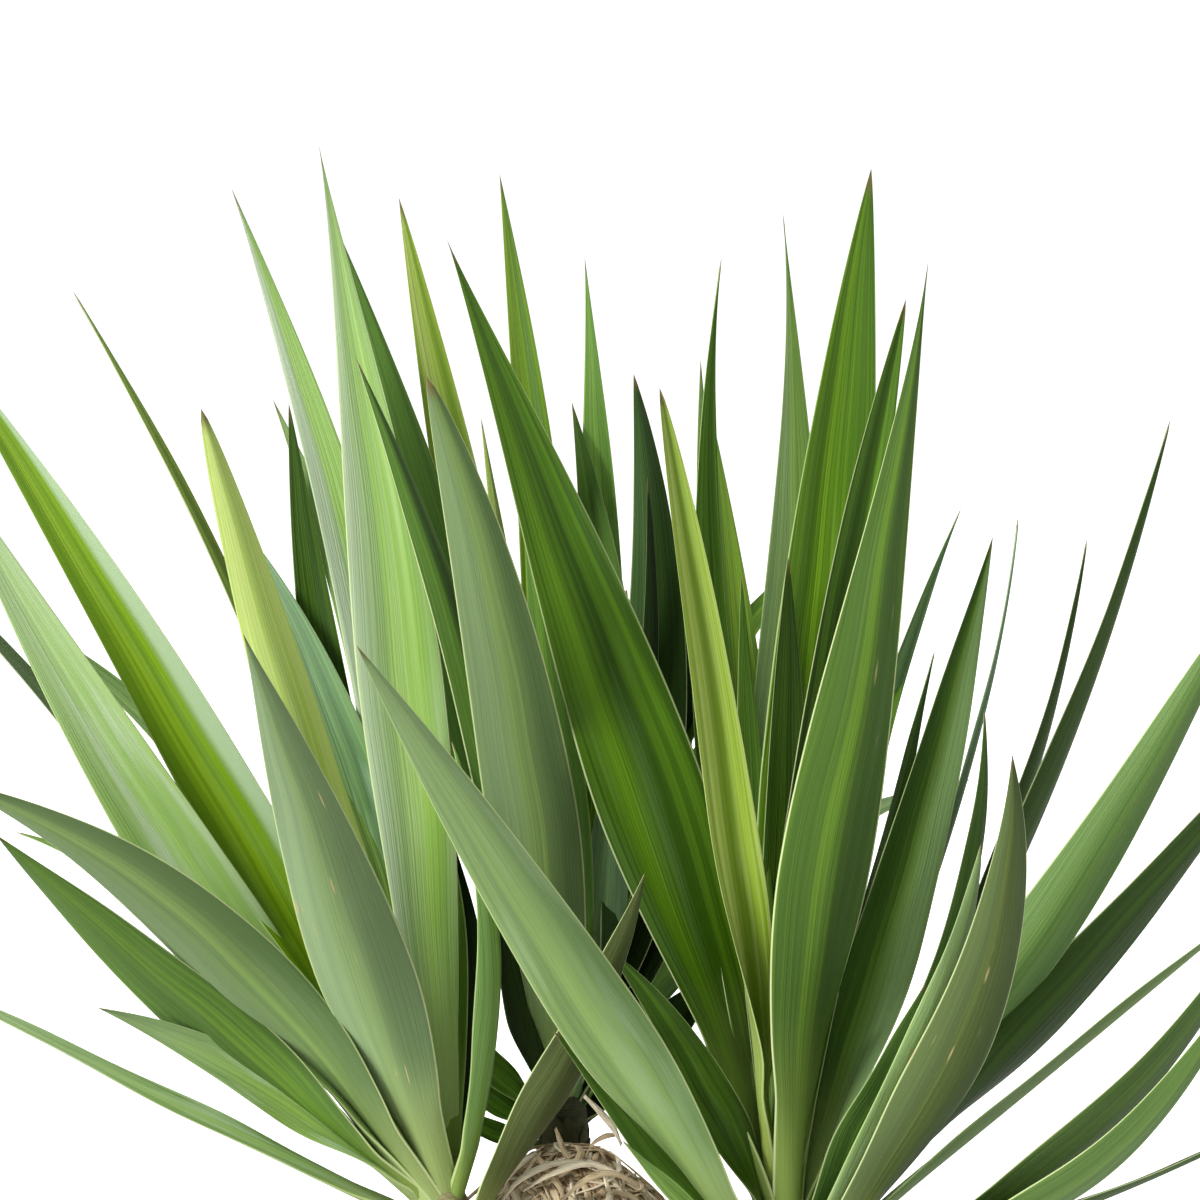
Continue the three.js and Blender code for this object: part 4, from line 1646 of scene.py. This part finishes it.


# The plant: each blade's tone, rise, middle, tip, width and face, and then its look,
# whose first number is painted light and shade


LEFT_BLADES = (
    Blade(Tone.GREY, 24, (-93, -80, 344), (-118, -170, 461), 36, 10,
          LeafLook(1.1, glow=(0.3, -0.3), band=(0.8, 0.55), frost=(0.5, -0.8), shade=1, edge=0.8,
                   scars=0.5), taper=1.2, widest=0.34),
    Blade(Tone.SAGE, 18, (-142, -70, 330), (-226, -140, 405), 29, 20,
          LeafLook(0.92, glow=(0.5, 0.1), band=(0.6, -0.6), frost=(0.6, -0.6), shade=0.8, edge=0.9),
          taper=1.1),
    Blade(Tone.GREEN, 18, (-141, -58, 292), (-209, -120, 380), 26, 15,
          LeafLook(1.18, glow=(0.4, 0.2), band=(0.4, -0.3), edge=0.8)),
    Blade(Tone.SAGE, 16, (-124, -46, 267), (-180, -80, 306), 18, 30,
          LeafLook(1.25, frost=(0.9, 0))),
    Blade(Tone.SAGE, 10, (-152, -16, 246), (-258, -8, 299), 18, 78,
          LeafLook(1.05, frost=(0.9, 0)), fold=0.1),
    Blade(Tone.PALE, 14, (-153, -38, 348), (-237, -45, 504), 31, 15,
          LeafLook(0.96, glow=(0.3, 0.2), band=(0.3, -0.5), frost=(0.7, 0)), fold=0.3),
    Blade(Tone.BRIGHT, 17, (-144, -20, 378), (-246, 0, 544), 27, 12,
          LeafLook(0.95, glow=(0.5, -0.3), band=(0.4, -0.7), frost=(1, 2), highlight_start=0.8),
          fold=0.5),
    Blade(Tone.DARK, 10, (-160, 8, 339), (-272, 60, 454), 22, 70, LeafLook(0.9)),
    Blade(Tone.OLIVE, 22, (-116, 20, 383), (-200, 60, 547), 14, 66, LeafLook(2.2, band=(0.6, 0.4))),
    Blade(Tone.LIME, 26, (-102, -50, 375), (-138, -90, 524), 24, 20,
          LeafLook(1.2, glow=(0.6, -0.55), band=(0.4, 0.3), frost=(0.35, 0)), taper=0.7, fold=0.35),
    Blade(Tone.BLUE, 24, (-91, 14, 358), (-142, 60, 462), 26, 10,
          LeafLook(1.28, glow=(0.6, -0.6), frost=(0.7, 0)), taper=0.9, fold=0.3),
    Blade(Tone.PALE, 30, (-74, 4, 404), (-104, 30, 605), 32, 5,
          LeafLook(0.95, glow=(0.55, 0.45), band=(0.25, 0.85), frost=(0.75, -0.6), edge=0.8),
          taper=1.4, widest=0.48),
    Blade(Tone.SAGE, 28, (-76, 30, 360), (-127, 90, 501), 22, 15, LeafLook(1.1, frost=(0.6, 0))),
    Blade(Tone.PALE, 28, (-83, 34, 398), (-140, 70, 585), 25, 20,
          LeafLook(1.05, glow=(0.2, -0.2), frost=(0.95, -1)), taper=1.1),
    Blade(Tone.DARK, 26, (-96, 26, 351), (-120, 80, 501), 21, 15, LeafLook(1.17), taper=0.9),
    Blade(Tone.GREEN, 20, (-39, -34, 305), (-55, -10, 388), 18, 60,
          LeafLook(1.6, glow=(0.9, 0.1), band=(0.8, 0.6), frost=(0.5, -1)), fold=0.3),
    Blade(Tone.BROWN, 2, (-9, -54, 284), (16, -80, 356), 19, 12,
          LeafLook(0.65, shade=0.6, edge=0.8), fold=0.3),
    Blade(Tone.IN_SHADOW, 18, (-52, 12, 282), (-62, 24, 357), 20, 20, fold=0.3),
)
RIGHT_BLADES = (
    Blade(Tone.SAGE, 3, (-22, -108, 344), (-80, -180, 459), 30, 15,
          LeafLook(1.03, glow=(0.3, -0.1), band=(0.9, 0.85), frost=(0.6, 0), edge=0.8),
          widest=0.36),
    Blade(Tone.DEEP, 32, (10, -14, 391), (-56, 2, 573), 42, 8,
          LeafLook(glow=(0.7, -0.3), band=(0.6, 0.15)), taper=1.3, fold=0.3),
    Blade(Tone.LIME, 34, (46, -42, 368), (21, -60, 527), 18, 15,
          LeafLook(0.9, glow=(0.7, -0.4), band=(0.9, 0.2)), taper=0.7, fold=0.8),
    Blade(Tone.DARK, 34, (40, 6, 400), (45, 24, 564), 23, 40, LeafLook(2.4), taper=1.4, fold=0.4),
    Blade(Tone.SAGE, 32, (46, 20, 381), (38, 50, 522), 18, 20),
    Blade(Tone.BRIGHT, 32, (57, 14, 360), (43, 45, 498), 22, 10, LeafLook(0.8, band=(0.9, -0.5))),
    Blade(Tone.SAGE, 30, (72, 26, 395), (69, 60, 577), 33, 10,
          LeafLook(0.92, glow=(0.3, -0.2), band=(0.5, 0.5), frost=(0.35, -1)), taper=1.7, sway=8),
    Blade(Tone.GREEN, 32, (80, -2, 400), (99, 8, 598), 39, 8,
          LeafLook(1.14, glow=(0.6, -0.3), band=(0.6, 0.55)), taper=0.9, fold=0.3),
    Blade(Tone.DARK, 30, (81, -26, 382), (110, -24, 554), 27, 20,
          LeafLook(2.1, glow=(0.6, 0.4), band=(0.7, -0.2), edge=0.9), taper=0.85, fold=0.45),
    Blade(Tone.GREEN, 28, (89, -56, 394), (114, -75, 574), 35, 5,
          LeafLook(0.72, glow=(0.9, 0), band=(0.85, 0.5), edge=0.9, scars=0.12),
          taper=1.5, widest=0.36, sway=8),
    Blade(Tone.DARK, 30, (69, -13, 336), (69, -10, 457), 20, 10,
          LeafLook(0.98, band=(0.6, 0.2)), taper=0.9),
    Blade(Tone.BLUE, 24, (93, 18, 339), (140, 80, 460), 17, 40, LeafLook(1.25), taper=1.2),
    Blade(Tone.DARK, 20, (100, 8, 311), (129, 60, 408), 16, 50, LeafLook(1.5), taper=1.1),
    Blade(Tone.MID, 22, (111, -16, 334), (145, 0, 463), 27, 20,
          LeafLook(0.72, glow=(0.3, 0.3), band=(0.5, -0.6), frost=(0.6, 0.9), shade=-0.8),
          fold=0.35),
    Blade(Tone.BLUE, 22, (134, 34, 343), (164, 100, 453), 10, 70, LeafLook(1.2, frost=(0.8, 0))),
    Blade(Tone.DARK, 16, (127, -26, 301), (142, -10, 400), 16, 40, LeafLook(1.2, frost=(0.5, 0))),
    Blade(Tone.OLIVE, 2, (128, -108, 304), (137, -170, 420), 27, 5,
          LeafLook(0.8, glow=(0.3, -0.2), band=(0.5, 0.7), frost=(0.5, -0.8), shade=0.7, edge=0.8,
                   scars=0.25), fold=0.3),
    Blade(Tone.SAGE, 6, (114, -92, 294), (130, -140, 382), 16, 25,
          LeafLook(1.25, band=(0.5, 0.6), frost=(0.5, 0)), taper=0.9, fold=0.3),
    Blade(Tone.DARK, 12, (101, -58, 263), (117, -70, 312), 20, 25, LeafLook(1.55), taper=0.9),
    Blade(Tone.MID, 14, (164, -50, 328), (231, -80, 467), 28, 12,
          LeafLook(0.97, glow=(0.3, -0.5), band=(0.4, 0.6), frost=(0.4, -0.7), shade=0.6, edge=0.8),
          fold=0.3),
    Blade(Tone.DEEP, 10, (166, -36, 292), (252, -30, 400), 29, 25,
          LeafLook(0.5, glow=(0.5, -0.2), frost=(0.05, 0))),
    Blade(Tone.SAGE, 6, (159, -66, 274), (245, -100, 363), 24, 60, LeafLook(0.87, band=(0.8, 0.5))),
    Blade(Tone.MID, 4, (167, -84, 252), (234, -120, 359), 22, 20, LeafLook(0.54, shade=0.6)),
    Blade(Tone.MID, 2, (165, -108, 247), (217, -165, 344), 20, 5,
          LeafLook(0.82, glow=(0.6, -0.2), frost=(0.05, 0), edge=0.8)),
    Blade(Tone.DARK, 0, (163, -75, 225), (246, -95, 272), 23, 50, LeafLook(0.9)),
    Blade(Tone.DARK, 18, (159, 10, 339), (216, 50, 499), 27, 62,
          LeafLook(0.85, glow=(0.5, -0.3), band=(0.6, 0.4), frost=(0.1, 0)), fold=0.3),
    Blade(Tone.DARK, 18, (149, 24, 322), (190, 90, 446), 18, 62, LeafLook(0.75, frost=(0.05, 0))),
    Blade(Tone.DEEP, 18, (39, -46, 266), (3, -34, 315), 17, 10,
          LeafLook(0.66, glow=(0.6, 0.3)), taper=0.9),
    Blade(Tone.DARK, 26, (58, -18, 323), (52, -6, 450), 14, 15, LeafLook(1.8)),
    Blade(Tone.DARK, 4, (18, -58, 252), (-17, -66, 293), 22, 20, LeafLook(1.3)),
    Blade(Tone.SAGE, -2, (30, -72, 229), (8, -88, 259), 12, 60, LeafLook(1.5)),
)
BACK_BLADES = (
    Blade(Tone.SAGE, 20, (-30, -30, 395), (-61, -60, 531), 34, 5,
          LeafLook(0.72, glow=(0.8, 0.05), band=(1, 0.62), frost=(0.45, -1), edge=0.9), taper=0.75),
    Blade(Tone.DEEP, 20, (-40, -12, 389), (-88, -30, 534), 20, 35,
          LeafLook(glow=(0.9, -0.5), band=(1, 0.3), edge=0.9), fold=0.5),
    Blade(Tone.DARK, 22, (-50, 28, 399), (-98, 45, 571), 32, 10,
          LeafLook(2.05, glow=(0.5, 0.3), band=(0.6, -0.3))),
    Blade(Tone.LIME, 24, (-42, 42, 404), (-76, 62, 582), 24, 10,
          LeafLook(glow=(0.6, -0.5), band=(0.9, 0.5)), taper=0.9, fold=0.3),
    Blade(Tone.LIME, 22, (-26, 10, 368), (-44, 10, 506), 14, 30),
    Blade(Tone.GREEN, 18, (-14, 18, 351), (-28, 10, 467), 22, 10, LeafLook(1.8), taper=0.9),
    Blade(Tone.BLUE, 14, (1, 30, 304), (5, 28, 387), 20, 10,
          LeafLook(1.8, frost=(0.4, 0)), taper=0.9),
    Blade(Tone.BRIGHT, 26, (-19, 50, 406), (-38, 64, 591), 22, 15,
          LeafLook(0.97, glow=(0.5, -0.6), band=(0.9, 0.5)), fold=0.3),
    Blade(Tone.MID, 26, (-1, 64, 391), (-6, 100, 556), 23, 15,
          LeafLook(1.7, frost=(0.4, 0)), taper=1.25),
    Blade(Tone.DARK, 24, (4, 46, 367), (-11, 84, 501), 26, 10,
          LeafLook(1.5, frost=(0.4, 0)), fold=0.3),
    Blade(Tone.IN_SHADOW, 24, (20, 42, 376), (13, 90, 511), 28, 8,
          LeafLook(1.3, glow=(0.4, -0.4), frost=(0.6, -1)), taper=0.9),
    Blade(Tone.IN_SHADOW, 22, (15, 36, 358), (18, 60, 475), 10, 10, LeafLook(0.5), taper=0.9),
    Blade(Tone.DARK, 8, (-49, 36, 256), (-66, 40, 280), 12, 20, LeafLook(3)),
    Blade(Tone.DARK, 4, (-49, 34, 240), (-70, 38, 254), 10, 20, LeafLook(3)),
    Blade(Tone.DARK, 0, (-48, 32, 226), (-66, 34, 237), 9, 20, LeafLook(3)),
    Blade(Tone.IN_SHADOW, 10, (28, 58, 325), (65, 110, 401), 24, 15),
    Blade(Tone.IN_SHADOW, 14, (19, 52, 338), (39, 90, 443), 24, 15),
    Blade(Tone.IN_SHADOW, 12, (-29, 18, 284), (-37, 6, 338), 18, 15, LeafLook(0.9)),
    Blade(Tone.IN_SHADOW, 6, (13, 58, 243), (49, 84, 274), 22, 10),
)
SHOOTS = (
    Shoot(Stem("left", (-58, -22, 192), (-52, -19), 9, 104, 150, 6, 56), LEFT_BLADES),
    Shoot(Stem("right", (68, -42, 184), (56, -34), 10, 60, 92, 4, 364), RIGHT_BLADES),
    # The back shoot stands in shade: its darker stem and husk finishes and its roots, left almost
    # unpaled, are painted shade.
    Shoot(Stem("back", (-14, 38, 214), (-13, 34), 7.5, 28, 128, 10, 301, 0.06), BACK_BLADES,
          SHADED_STEM, Husks(SHADED_HUSK, 0.25)),
)

# Curled strips that stand up from the heap's crest
CURLS = (
    ((-37, -6, 210), (-34, -8, 219), (-29, -6, 224), (-24, 0, 225)),
    ((-24, -2, 225), (-20, -10, 222), (-15, -14, 216), (-13, -16, 210)),
    ((-29, -14, 215), (-17, -14, 222), (-3, -10, 224), (12, -12, 218)),
    ((-17, 6, 233), (-15, 4, 228), (-12, 2, 223), (-3, -4, 221)),
    ((-6, 2, 247), (0, -2, 242), (5, -6, 237), (8, -8, 231)),
    ((-6, 0, 222), (-3, -2, 229), (2, -4, 233), (7, -2, 233)),
    ((-38, -16, 210), (-30, -16, 220), (-18, -10, 224), (-5, -6, 224)),
    ((-15, -20, 213), (-5, -18, 221), (5, -14, 222), (15, -14, 217)),
)


def write_sizes() -> None:
    """Gathers the solids' box and the dressed model's box side by side as plain lists, which are
    not kept.
    """
    boxes = {"cad": CAD_BOX, "visual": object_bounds()}
    plain = {name: [list(corner) for corner in box] for name, box in boxes.items()}


def main() -> None:
    """Builds the plant piece by piece, then its studio."""
    logging.basicConfig(level=logging.INFO, format="%(name)s %(message)s")
    grain, straw, leaf, maker = grain_group(), strand_group(), BladeFinish(), BladeMaker()
    for shoot in SHOOTS:
        LOG.info("shoot %s: %d pieces", shoot.stem.name, shoot.build(maker, leaf, grain))
    ground = Ground(tuple(shoot.stem for shoot in SHOOTS), CURLS)
    ground.soil(grain)
    ground.bed(grain)
    ground.straw(straw)
    ClayPot().build(grain)
    Studio().build()
    write_sizes()


if __name__ == "__main__":
    main()
